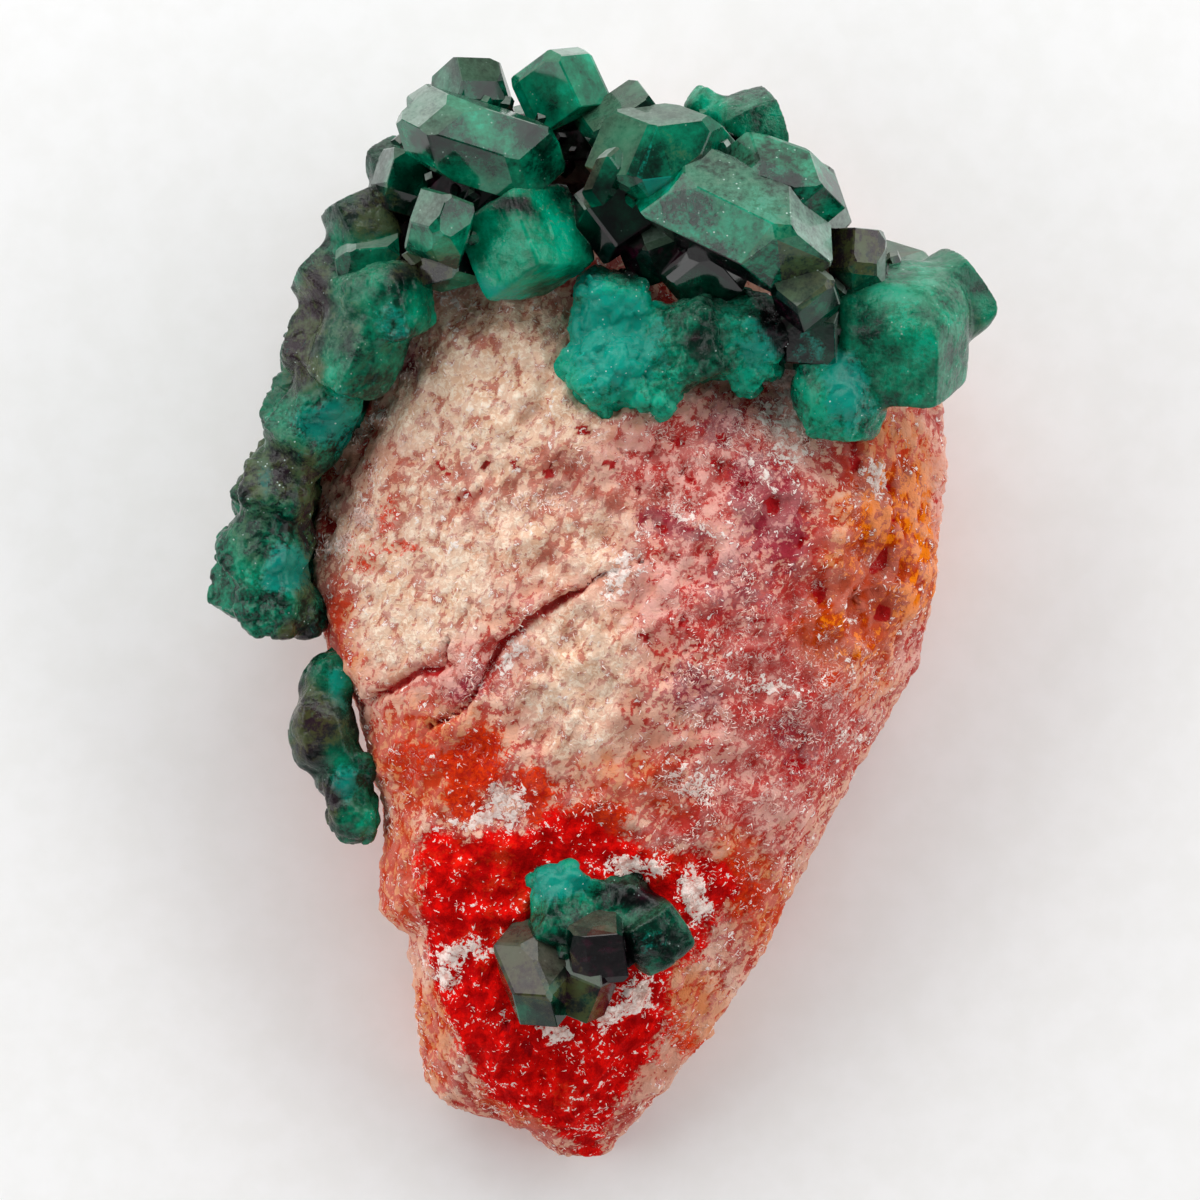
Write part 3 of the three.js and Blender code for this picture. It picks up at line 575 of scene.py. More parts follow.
rockLook = {
    # noises: width in millimetres, detail, roughness and distortion
    "noises": [[5, 3, 0.6], [1.2, 4, 0.65], [0.42, 3, 0.7, 0.6], [0.7, 3, 0.6, 1.6]],
    "pale": ["d8947c", "e8b096"],
    "cream": ["e8bc9c", "ffe8d0"],
    "deep": ["b81412", "c06c58"],
    # tints laid in turn over the pale and the deep shades: stain, width of its soft edge, share and shade
    "paleTints": [
        ["pink", 0.6, 0.9, "e49c92"], ["salmon", 0.6, 0.9, "de8048"], ["purple", 0.6, 0.6, "c0707c"],
        ["ochre", 0.6, 1, "f07c0a"],
    ],
    "deepTints": [["purple", 0.3, 1, "980e2c"], ["salmon", 0.3, 1, "c82c0c"], ["ochre", 0.3, 1, "b83004"]],
    "paleGrain": "fff2e4",
    "orange": ["b80e04", "e43c08"],
    "red": ["b00002", "f00a04"],
    "thinRed": "cc4018",
    # painted shade, a darker red laid in the skin's low places
    "paintedCreaseShade": "981a18",
    "pit": "b00a14",
    "curl": "f4dcd0",
    "frost": ["e0b8ac", "fff4ec"],
    "bump": 0.26,
    "shine": {"IOR": 1.5, "Specular IOR Level": 0.06},
}


def rockFinish():  # pale stone with a deep red veil in its seams, painted shade in its low places, then stains, pits, curls and frost over it
    f = Finish("stainedRock")
    look = rockLook
    broad, middle, fine, fibres = (f.noise(*values) for values in look["noises"])
    rust = f.attribute("rust")
    sugar = fine * 0.6 + middle * 0.4

    def blot(name, edge=0.3):  # a stain whose soft edge is broken up by noise
        ragged = f.attribute(name) + (middle - 0.5) * 1.1 + (fine - 0.5) * 1.1
        return ragged.within(0.5 - edge / 2, 0.5 + edge / 2)

    def tinted(shade, tints):
        for name, edge, share, over in tints:
            amount = blot(name, edge)
            shade = f.mix(amount * share if share < 1 else amount, shade, over)
        return shade

    pale = f.mix(broad.within(0.35, 0.65), *look["pale"])
    pale = f.mix(blot("cream", 0.6) * (1 - broad.within(0.46, 0.66) * 0.5), pale, look["cream"][0])
    pale = f.mix(blot("cream") * fine.within(0.42, 0.62), pale, look["cream"][1])
    pale = tinted(pale, look["paleTints"])
    deep = tinted(f.mix(blot("cream", 0.6), *look["deep"]), look["deepTints"])
    # the low places add painted shade to the veil; the seams between blocks and grains are the stone's own
    # red
    seamsAndCreaseShade = f.attribute("seam") * (0.62 - rust * 0.45) + f.attribute("low") * 0.6
    veil = rust * 0.85 + (sugar - 0.5) * 3.4 + (broad - 0.5) * 0.7 + seamsAndCreaseShade - 0.34
    shade = f.mix(veil.within(0.34, 0.6) * 0.9, pale, deep)
    shade = f.mix(f.attribute("grain").within(0.1, 0.9) * (0.2 - rust * 0.14), shade, look["paleGrain"])
    shade = f.mix(blot("orange") * 0.95, shade, f.mix(fine.within(0.35, 0.65), *look["orange"]))
    stain = blot("red")
    redder = f.mix(middle.within(0.38, 0.62), *look["red"])
    thin = (broad * 0.5 + sugar * 0.5).within(0.54, 0.62) * 0.45
    shade = f.mix(stain, shade, f.mix(thin, redder, look["thinRed"]))
    # painted shade: a darker red in the low places, where shade falls
    paintedCreaseShade = (f.attribute("low") + (middle - 0.5) * 0.7 + (sugar - 0.5) * 0.5).within(0.5, 0.95)
    shade = f.mix(paintedCreaseShade * 0.25, shade, look["paintedCreaseShade"])
    pitted = (f.attribute("pit") + (fine - 0.5) * 1.1).within(0.45, 0.8)
    shade = f.mix(pitted * 0.9, shade, look["pit"])
    patches = (broad - 0.5) * 1.4 + (middle - 0.5) * 1.2
    curls = (0.035 - f.maths("ABSOLUTE", fibres - 0.5)).within(0.0, 0.022)
    curls = curls * (rust * 0.3 + f.attribute("pink") * 0.3 + patches).within(0.3, 0.7)
    shade = f.mix(curls * (0.65 - stain * 0.5), shade, look["curl"])
    crust = (f.attribute("frost") + (middle - 0.5) * 2.4 + (fine - 0.5) * 3.0).within(0.5, 0.6)
    shade = f.mix(crust * 0.9, shade, f.mix(fine.within(0.4, 0.6), *look["frost"]))
    rough = 0.88 - crust * 0.1 - curls * 0.35
    relief = f.bump(middle * 0.6 + fine * 0.8, look["bump"])
    values = {"Base Color": shade, "Roughness": rough, "Normal": relief}
    return f.close(f.principled({**values, **look["shine"]}))


# Each row: x, y, z of the middle, radius of the prism's edges, reach to the tip, heading and rise of the axis
# and roll about it in degrees, seed, tone from dark to bright, share of cloud.
crystals = {
    "capSlope": 1.233,
    "unevenSides": 0.14,
    "unevenCaps": 0.1,
    "bevel": 0.035,  # least depth taken off an edge
    "truncated": [0.34, 0.085],  # share of the edges cut deeper, and how deep as a share of the radius
    "cutCorners": [0.3, 0.16],  # the same for the corners
    # worn crystals: seed, and how firm their edges still are
    "worn": {
        2: 13, 8: 13, 9: 15, 12: 13, 14: 7, 15: 8, 16: 14, 17: 10, 18: 15, 23: 6, 24: 6, 25: 11, 26: 9,
        27: 10, 28: 8, 29: 8, 30: 8, 31: 9, 34: 15, 35: 17, 36: 9, 39: 9, 40: 11, 41: 9, 42: 8, 43: 8, 47: 7,
        48: 10, 49: 11, 52: 8, 55: 9, 57: 7, 59: 11, 60: 8, 61: 8, 62: 8, 63: 9,
    },
    "wornRoots": 7,
    "flankEdge": -15.5,  # the undergrowth to the left of this is worn
    "grid": [36, 56],
    "growth": 1.02,
    "fillet": 0.8,  # worn bodies start this much larger and are drawn back, which fills the creases
    "blend": 0.35,
    "skinStep": 0.17,
    "skinSmoothing": 5,
    "fullWear": 8,  # the firmness at which the swells, chips and grit have their whole height
    "swell": [2.4, 0.16],  # width and height in millimetres, as in the next two
    "chips": [1.2, 0.34],
    "grit": [0.5, 0.06],
    "crown": [
        [-9.1, 35.3, 19.6, 3, 4, 112, 30, 20, 1, 0.3, 0.1],
        [-11.7, 34.7, 18.2, 2, 2.8, 30, 30, 0, 58, 0.3, 0.1],
        [-14.2, 30.4, 18.5, 2.4, 3.2, 150, 15, 20, 2, 0.3, 0.1],
        [-2.8, 35.8, 20.5, 3.7, 4.1, -50, 62, 12, 3, 0.7, 0.1],
        [-8.5, 31.8, 25, 3.5, 6.7, 163, 8, 20, 4, 0.55, 0.25],
        [1.9, 32.5, 21.8, 4.3, 4.5, 60, 50, 0, 5, 0.25, 0],
        [4.1, 31, 24.6, 3.9, 5.9, -172, 14, 0, 6, 0.4, 0.1],
        [0.2, 29.3, 26.6, 1.2, 2.5, 66, 15, 10, 7, 0.2, 0], [7.1, 34.8, 19.5, 1.6, 2, 80, 40, 0, 8, 0.7, 0.4],
        [10.3, 33.4, 20.2, 3.2, 3.6, 40, 40, 10, 9, 0.6, 0.3],
        [12.3, 29, 24.5, 3.5, 5.4, -20, 8, 14, 10, 0.5, 0.55],
        [9.2, 26.7, 25.4, 4.4, 8.4, -27, 16, 22, 11, 0.6, 0.6],
        [-5.2, 25, 23.2, 5.9, 5.3, -60, 64, 20, 12, 0.75, 0.1],
        [-11.3, 25.8, 26, 2.5, 3.8, 75, 50, 25, 13, 0.55, 0.3],
        [-16.8, 26.4, 20.5, 3.3, 3.6, 140, 45, 0, 16, 0.35, 0.1],
        [-15, 20.9, 22, 4.1, 4.8, -60, 42, 10, 17, 0.6, 0.2],
        [-17.3, 17.4, 20.6, 3.9, 4.6, -110, 35, 25, 59, 0.5, 0.3],
        [-18.8, 22.5, 19.2, 3.5, 3.9, 160, 40, 0, 18, 0.2, 0.6],
        [0.6, 27, 22.6, 3.2, 4.2, 60, 50, 0, 19, 0, 0], [3.6, 24.8, 21.4, 3, 3.8, 20, 55, 30, 53, 0, 0],
        [7.2, 23.2, 21.4, 3.3, 4, -30, 35, 10, 54, 0.1, 0],
        [-9, 28.7, 22.5, 2.8, 3.8, -20, 40, 0, 20, 0.1, 0],
        [-13.9, 29.1, 20.5, 2.8, 3.6, 100, 40, 0, 21, 0.3, 0],
        [-10.9, 24, 21.4, 3.3, 3.7, -60, 60, 0, 22, 0.35, 0.1],
        [-16.2, 23.6, 20.8, 3.1, 3.8, 30, 50, 0, 56, 0.3, 0.1],
        [-20.1, 18, 18, 2.9, 3.6, 190, 35, 0, 25, 0.25, 0.6],
        [-19.3, 14.3, 17.6, 3.1, 3.8, -150, 50, 0, 26, 0.25, 0.6],
        [-20.9, 11.9, 16.3, 3.3, 4.2, 170, 30, 0, 27, 0.3, 0.6],
        [-23, 8, 15.6, 3.2, 4.2, 200, 40, 0, 28, 0.25, 0.6],
        [-23.9, 3.8, 14, 4, 5, -110, 30, 0, 29, 0.45, 0.6],
        [-23.2, 0.4, 13.8, 3.5, 4.4, -70, 30, 0, 30, 0.3, 0.6],
        [-24.8, 1, 11, 3.2, 4.2, -160, 10, 0, 31, 0.5, 0.6],
        [-24, 3.4, 8.6, 3.9, 5, -150, 10, 0, 60, 0.25, 0.6],
        [-23.2, 7.4, 10.4, 3.6, 4.6, 170, 30, 0, 61, 0.2, 0.6],
        [-23.4, 0.6, 7.8, 3.4, 4.4, -120, 20, 0, 62, 0.25, 0.6],
        [-21.2, -0.9, 12.8, 2.1, 2.7, -60, 30, 0, 63, 0.15, 0.6],
        [-9.3, 32.6, 18.6, 3.6, 4.4, 20, 30, 0, 50, 0.2, 0], [8.4, 31, 19.4, 3.6, 4.6, 60, 30, 0, 51, 0.2, 0],
    ],
    "broken": [
        [0.3, 16.4, 21.8, 4.1, 4.5, -120, 50, 10, 14, 0.9, 0.9],
        [6.6, 18.2, 22, 4.4, 4.9, -50, 50, 0, 15, 0.5, 0.4],
        [10.5, 18.9, 21.6, 3.5, 4.4, -20, 40, 15, 52, 0.6, 0.6],
        [3.7, 15.4, 21.2, 3.2, 3.8, -90, 50, 0, 23, 0.8, 0.8],
        [10.3, 16.6, 21, 2.6, 3.2, -30, 40, 0, 24, 0.9, 0.9],
        [0.5, 20.5, 21.4, 3.6, 4.3, 20, 40, 0, 57, 0.8, 0.6],
    ],
    "shoulder": [
        [14.2, 21.2, 25.4, 2.8, 3.4, -120, 64, 5, 32, 0.1, 0],
        [17.7, 23.7, 22.5, 2.6, 3.6, 95, 50, 20, 33, 0.2, 0],
        [21, 18.8, 20.6, 5.7, 7.2, -70, 25, 10, 34, 0.7, 0.3],
        [24, 20.9, 18, 4.2, 4.8, 60, 40, 0, 35, 0.55, 0.1],
        [16.1, 14.7, 20.8, 3.6, 5, -70, 25, 0, 36, 0.6, 0.8], [14.2, 18.7, 21.4, 3.2, 4, 20, 60, 0, 37, 0, 0],
        [16.3, 24.2, 19.5, 2.4, 3.4, 20, 30, 0, 38, 0, 0],
        [17.9, 13.4, 20.5, 2.4, 3.2, -80, 40, 0, 39, 0.6, 0.6],
    ],
    "lowerLeft": [
        [-19.9, -9.3, 12.5, 2.8, 4.2, 100, 15, 0, 40, 0.2, 0],
        [-19.6, -5.7, 12.2, 2.3, 3.2, 60, 25, 0, 41, 0.4, 0.4],
        [-17.8, -15.1, 11.5, 2.3, 3.3, 120, 10, 0, 42, 0.5, 0.3],
        [-18.4, -12.4, 12, 2.2, 3, 30, 20, 0, 43, 0.5, 0.4],
    ],
    "front": [
        [-4.7, -26.2, 16.6, 2.9, 4.8, -66, 20, 20, 44, 0.15, 0],
        [-1.3, -27, 16.2, 2.9, 3.4, -84, 30, 0, 45, 0.2, 0], [-0.4, -24.4, 17, 3.3, 3.4, 30, 50, 0, 46, 0, 0],
        [-3.2, -20.2, 15.8, 2.4, 3.4, 15, 20, 0, 47, 1, 1],
        [-3.3, -22.8, 16.6, 2.6, 3, 100, 40, 0, 48, 0.3, 0.3],
        [3.7, -23.6, 16, 3.4, 3.8, 60, 40, 0, 49, 0.3, 0.2],
        [1.5, -21, 15.4, 2.6, 3.4, -15, 20, 10, 55, 0.3, 0.4],
    ],
}
# The undergrowth's courses, and its two rows along them, as in the solids.
roots = {
    "crown": [
        [-22.2, 9.4], [-19.2, 17.4], [-15.2, 24.2], [-9.8, 29.6], [-3, 32.4], [4, 32], [10.6, 29],
        [14.6, 26.4],
    ],
    "shoulder": [[17.8, 23.6], [20.8, 20.2], [22.2, 16.4]],
    "crownSeeds": 180,  # the first seed of each course's crystals
    "shoulderSeeds": 800,
    "rows": [[8.0, 0.4, 0], [13.4, 0.4, 24]],  # height, inset and rise of the axis
    "spacing": 7.2,
    "radius": 4.5,
    "reach": 5.4,
    "uneven": [1.4, 70, 40],  # how much the height, the heading and the rise vary
}


def smoothCourse(course, places):  # centripetal Catmull-Rom through the course's points, at even lengths
    points = [np.array(p, float) for p in course]
    points = [2 * points[0] - points[1]] + points + [2 * points[-1] - points[-2]]
    samples = []
    for a, b, c, d in zip(points, points[1:], points[2:], points[3:]):
        ta, tb, tc = (max(np.linalg.norm(q - p), 1e-4) ** 0.5 for p, q in ((a, b), (b, c), (c, d)))
        first = ((b - a) / ta - (c - a) / (ta + tb) + (c - b) / tb) * tb
        last = ((c - b) / tb - (d - b) / (tb + tc) + (d - c) / tc) * tb
        t = np.linspace(0, 1, 200, endpoint=False)[:, None]
        square, cube = 3 * (c - b) - 2 * first - last, 2 * (b - c) + first + last
        samples.append(b + first * t + square * t**2 + cube * t**3)
    path = np.concatenate(samples + [[points[-2]]])
    gaps = np.linalg.norm(np.diff(path, axis=0), axis=1)
    travelled = np.concatenate([[0], np.cumsum(gaps)])
    length = travelled[-1]
    at = lambda share: np.array([np.interp(share * length, travelled, path[:, k]) for k in (0, 1)])
    return length, [(at(p), at(min(p + 1e-3, 1)) - at(max(p - 1e-3, 0))) for p in places]


def rootRows(course, seed):  # undergrowth in two rows, shifted by half a step, each crystal turned a little
    length, _ = smoothCourse(course, [])
    count = round(length / roots["spacing"])
    rows = []
    for level, (height, inset, rise) in enumerate(roots["rows"]):
        marks = [seed + 20 * level + i for i in range(count)]
        places = [(i + 0.5 * (level % 2) + 0.3 * chance(m, 1)) / count for i, m in enumerate(marks)]
        _, spots = smoothCourse(course, places)
        for mark, (place, step) in zip(marks, spots):
            forward = step / np.linalg.norm(step)
            outward = math.degrees(math.atan2(forward[0], -forward[1]))
            size = 0.82 + 0.3 * chance(mark, 2)
            uneven = enumerate(roots["uneven"], 3)
            lifted, turned, tipped = (most * (chance(mark, k) - 0.5) for k, most in uneven)
            rows.append([
                place[0] + inset * forward[1], place[1] - inset * forward[0], height + lifted,
                roots["radius"] * size, roots["reach"] * size, outward + turned, rise + tipped,
                60 * chance(mark, 6), mark, 0.2 + 0.4 * chance(mark, 7), 0.1,
            ])
    return rows


def crystalPlanes(row):  # six prism sides and three faces at each end, as outward normals and offsets
    radius, reach, heading, rise, roll, seed = row[3], row[4], *np.radians(row[5:8]), row[8]
    axis = np.array([math.cos(rise) * math.cos(heading), math.cos(rise) * math.sin(heading), math.sin(rise)])
    level = np.array([-math.sin(heading), math.cos(heading), 0])
    upright = np.cross(axis, level)
    ring = lambda angles: np.cos(roll + angles)[:, None] * level + np.sin(roll + angles)[:, None] * upright
    sides = ring(np.pi / 6 + np.arange(6) * np.pi / 3)
    sideOffsets = radius * math.cos(math.pi / 6) * (1 - crystals["unevenSides"] * chance(seed, np.arange(6)))
    upper = crystals["capSlope"] * ring(np.arange(3) * 2 * np.pi / 3) + axis
    lower = crystals["capSlope"] * ring(np.pi + np.arange(3) * 2 * np.pi / 3) - axis
    upperOffsets = reach * (1 - crystals["unevenCaps"] * chance(seed, 6 + np.arange(3)))
    lowerOffsets = reach * (1 - crystals["unevenCaps"] * chance(seed, 9 + np.arange(3)))
    normals = np.concatenate([sides, upper, lower])
    offsets = np.concatenate([sideOffsets, upperOffsets, lowerOffsets])
    size = np.linalg.norm(normals, axis=1)
    return normals / size[:, None], offsets / size


def planeCorners(normals, offsets):  # where three planes meet, kept if no other plane cuts the place off
    triples = np.array(list(itertools.combinations(range(len(normals)), 3)))
    sets = normals[triples]
    firm = np.abs(np.linalg.det(sets)) > 1e-4
    triples, sets = triples[firm], sets[firm]
    corners = np.linalg.solve(sets, offsets[triples][..., None])[..., 0]
    inside = (corners @ normals.T <= offsets + 1e-6).all(1)
    return corners[inside], triples[inside]


def cutPlanes(normals, offsets, radius, seed):  # extra planes over the edges and corners, some cut deep
    corners, triples = planeCorners(normals, offsets)
    share, depth = crystals["truncated"]
    more, moreOffsets = [], []
    for count, pair in enumerate(itertools.combinations(range(len(normals)), 2)):
        onEdge = np.isin(triples, pair).sum(1) == 2
        if onEdge.sum() < 2 or np.ptp(corners[onEdge], axis=0).max() < 0.05:
            continue
        lean = 0.5 + 0.3 * (chance(seed, 50 + count) - 0.5)
        between = lean * normals[pair[0]] + (1 - lean) * normals[pair[1]]
        between /= np.linalg.norm(between)
        deep = depth * radius * chance(seed, 150 + count) if chance(seed, 250 + count) < share else 0
        more.append(between)
        moreOffsets.append(between @ corners[onEdge][0] - crystals["bevel"] - deep)
    share, depth = crystals["cutCorners"]
    for count, (corner, triple) in enumerate(zip(corners, triples)):
        if chance(seed, 350 + count) < share:
            lean = 0.6 + 0.8 * chance(seed, 450 + count + np.arange(3))
            outward = (normals[triple] * lean[:, None]).sum(0)
            outward /= np.linalg.norm(outward)
            more.append(outward)
            moreOffsets.append(outward @ corner - depth * radius * (0.3 + 0.7 * chance(seed, 550 + count)))
    return np.concatenate([normals, more]), np.concatenate([offsets, moreOffsets])


def sharpCrystal(row):  # the body inside all of a crystal's planes; those that fill gaps stay uncut
    normals, offsets = crystalPlanes(row)
    if row[8] < infill["seeds"]:
        normals, offsets = cutPlanes(normals, offsets, row[3], row[8])
    corners, _ = planeCorners(normals, offsets)
    corners = np.unique(np.round(corners, 4), axis=0) + row[:3]
    shape = bmesh.new()
    for corner in corners:
        shape.verts.new(corner)
    hull = bmesh.ops.convex_hull(shape, input=shape.verts)
    inner = [v for v in hull["geom_interior"] if isinstance(v, bmesh.types.BMVert)]
    bmesh.ops.delete(shape, geom=inner, context="VERTS")
    bmesh.ops.dissolve_limit(shape, angle_limit=math.radians(0.3), verts=shape.verts, edges=shape.edges)
    bmesh.ops.triangulate(shape, faces=shape.faces)
    mesh = bpy.data.meshes.new("crystal")
    shape.to_mesh(mesh)
    shape.free()
    return mesh


def wornCrystal(row, firmness):  # in each direction the soft minimum of the reaches to the planes
    normals, offsets = crystalPlanes(row)
    rows, columns = crystals["grid"]
    steps = np.linspace(0, np.pi, rows + 2)[1:-1], np.linspace(0, 2 * np.pi, columns, endpoint=False)
    lift, turn = np.meshgrid(*steps, indexing="ij")
    ways = np.stack([np.sin(lift) * np.cos(turn), np.sin(lift) * np.sin(turn), np.cos(lift)], -1)

    def skin(way):
        shares = np.maximum(way @ normals.T, 0) / offsets
        reach = crystals["growth"] * np.sum(shares**firmness, axis=-1) ** (-1 / firmness) + crystals["fillet"]
        return np.array(row[:3]) + way * reach[..., None]

    ends = skin(np.array([[0, 0, 1.0], [0, 0, -1.0]]))
    return meshFromRings("crystal", skin(ways)[::-1], ends[1], ends[0])


def ownership(rows, places):  # each crystal's share of a place, from the exponential of its depth there
    depths = []
    for row in rows:
        normals, offsets = crystalPlanes(row)
        depths.append(((places - row[:3]) @ normals.T - offsets).max(-1))
    shares = np.exp(-(np.array(depths) - np.min(depths, axis=0)) / crystals["blend"])
    return shares / shares.sum(0)


def fusedCrystals(rows, firmness):  # worn crystals grown into one even skin, smoothed and then roughened
    shape = bmesh.new()
    for row in rows:
        shape.from_mesh(wornCrystal(row, firmness[row[8]]))
    mesh = bpy.data.meshes.new("mass")
    shape.to_mesh(mesh)
    shape.free()
    helper = makeObject("helper", mesh)
    for inset in (crystals["fillet"], 0):
        skin = helper.modifiers.new("skin", "REMESH")
        skin.mode, skin.voxel_size, skin.use_smooth_shade = "VOXEL", crystals["skinStep"], True
        soften = helper.modifiers.new("soften", "SMOOTH")
        soften.factor, soften.iterations = 0.5, crystals["skinSmoothing"]
        back = helper.modifiers.new("back", "DISPLACE")
        back.strength, back.mid_level = -inset, 0
    mesh = bpy.data.meshes.new_from_object(helper.evaluated_get(bpy.context.evaluated_depsgraph_get()))
    bpy.data.objects.remove(helper)
    (points,), (normals,) = arraysOf(mesh.vertices, "co"), arraysOf(mesh.vertex_normals, "vector")
    firm = ownership(rows, points).T @ np.array([firmness[row[8]] for row in rows])
    wear = crystals["fullWear"] ** 3 / firm**3
    swellSize, swellHeight = crystals["swell"]
    chipSize, chipHeight = crystals["chips"]
    gritSize, gritHeight = crystals["grit"]
    near, _, own = cellPattern(points + 0.3 * softNoise(points, 0.9, 97)[:, None], chipSize, 95)
    height = swellHeight * layeredNoise(points, swellSize, 90, 2) + chipHeight * (own - near)
    height = height + gritHeight * layeredNoise(points, gritSize, 99, 2)
    points = points + (wear * height)[:, None] * normals
    mesh.vertices.foreach_set("co", points.astype(np.float32).ravel())
    mesh.update()
    (centres,) = arraysOf(mesh.polygons, "center")
    shares = ownership(rows, centres + 0.9 * softNoise(centres, 1.7, 98)[:, None])
    values = [[row[9], row[10], chance(row[8], 30)] for row in rows]
    for name, value in zip(("tone", "cloud", "own"), (shares.T @ np.array(values)).T):
        setAttribute(mesh, name, value, "FACE")
    setAttribute(mesh, "worn", np.ones(len(centres)), "FACE")
    return mesh


def sharpBody(row):  # a sharp crystal with its tone, cloud and chance on every face
    mesh = sharpCrystal(row)
    for name, value in (("tone", row[9]), ("cloud", row[10]), ("own", chance(row[8], 30)), ("worn", 0.0)):
        setAttribute(mesh, name, np.full(len(mesh.polygons), value), "FACE")
    mesh.polygons.foreach_set("use_smooth", np.zeros(len(mesh.polygons), bool))
    return mesh


def isWorn(row):  # the named worn crystals, and the undergrowth along the flank
    rooted = roots["crownSeeds"] <= row[8] < infill["seeds"]
    return row[8] in crystals["worn"] or (rooted and row[0] < crystals["flankEdge"])


def skyline(rows, x, y):  # height of the topmost crystal over each place, or -99 where there is none
    best = np.full(x.shape, -99.0)
    for row in rows:
        normals, offsets = crystalPlanes(row)
        room = offsets[:, None] - normals[:, :1] * (x - row[0]) - normals[:, 1:2] * (y - row[1])
        steep = normals[:, 2:]
        top = np.min(np.where(steep > 1e-3, room / np.where(steep > 1e-3, steep, 1), 99), axis=0)
        bottom = np.max(np.where(steep < -1e-3, room / np.where(steep < -1e-3, steep, 1), -99), axis=0)
        best = np.where(top > bottom, np.maximum(best, row[2] + top), best)
    return best


# Small crystals between the large ones: how many in each cluster, and how they are placed.
infill = {
    "seeds": 1000,  # theirs start here
    "counts": {"crown": 22, "shoulder": 5, "broken": 0, "lowerLeft": 0, "front": 3},
    "from": [-18.5, -40],  # none lies further left or lower
    "trials": 6000,
    "ring": 1.5,  # how far round a place its depth is judged
    "spacing": 1.15,
    "radius": [0.4, 1.1],
}


def fillGaps(rows, count, seed):  # small crystals at the places that lie deepest below what is round them
    pick = np.random.default_rng(seed)
    table = np.array([row[:5] for row in rows])
    margin = table[:, 3:5].min(1)[:, None] * 0.8
    low, high = (table[:, :2] - margin).min(0), (table[:, :2] + margin).max(0)
    low = np.maximum(low, infill["from"])
    x, y = pick.uniform(low[0], high[0], infill["trials"]), pick.uniform(low[1], high[1], infill["trials"])
    here = skyline(rows, x, y)
    x, y, here = x[here > 0], y[here > 0], here[here > 0]
    reach, angles = infill["ring"], np.arange(8) * math.pi / 4
    ring = [skyline(rows, x + reach * math.cos(a), y + reach * math.sin(a)) for a in angles]
    hollow = np.mean([np.clip(r - here, -2.0, 2.5) for r in ring], axis=0) + 0.3 * pick.random(len(x))
    kept = []
    for k in np.argsort(-hollow):
        if len(kept) == count:
            break
        if all(math.hypot(x[k] - x[j], y[k] - y[j]) > infill["spacing"] for j in kept):
            kept.append(k)
    small = []
    for mark, k in enumerate(kept):
        radius = infill["radius"][0] + (infill["radius"][1] - infill["radius"][0]) * pick.random() ** 1.6
        small.append([
            x[k], y[k], here[k] + radius * pick.uniform(-0.5, 0.25), radius, radius * pick.uniform(1.1, 1.7),
            pick.uniform(0, 360), pick.uniform(10, 80), pick.uniform(0, 60),
            infill["seeds"] + 200 * seed + mark, 0.5 * pick.random() ** 2, 0.5 * pick.random() ** 2,
        ])
    return small


def uniteMeshes(name, meshes):  # all the bodies as one closed skin
    helpers = [makeObject("helper", mesh) for mesh in meshes]
    for helper in helpers[1:]:
        joint = helpers[0].modifiers.new("joint", "BOOLEAN")
        joint.operation, joint.solver, joint.object = "UNION", "MANIFOLD", helper
    graph = bpy.context.evaluated_depsgraph_get()
    united = bpy.data.meshes.new_from_object(helpers[0].evaluated_get(graph))
    united.name = name
    for helper in helpers:
        bpy.data.objects.remove(helper)
    united.materials.clear()
    return united


def heldInside(points):  # clipped to the solids' own box
    return np.clip(points, np.array(cadLow), np.array(cadHigh))


def placeMesh(mesh, shift):  # from millimetres in the design to metres in the frame
    points = heldInside((arraysOf(mesh.vertices, "co")[0] + shift) * mm)
    mesh.vertices.foreach_set("co", points.astype(np.float32).ravel())
    mesh.update()


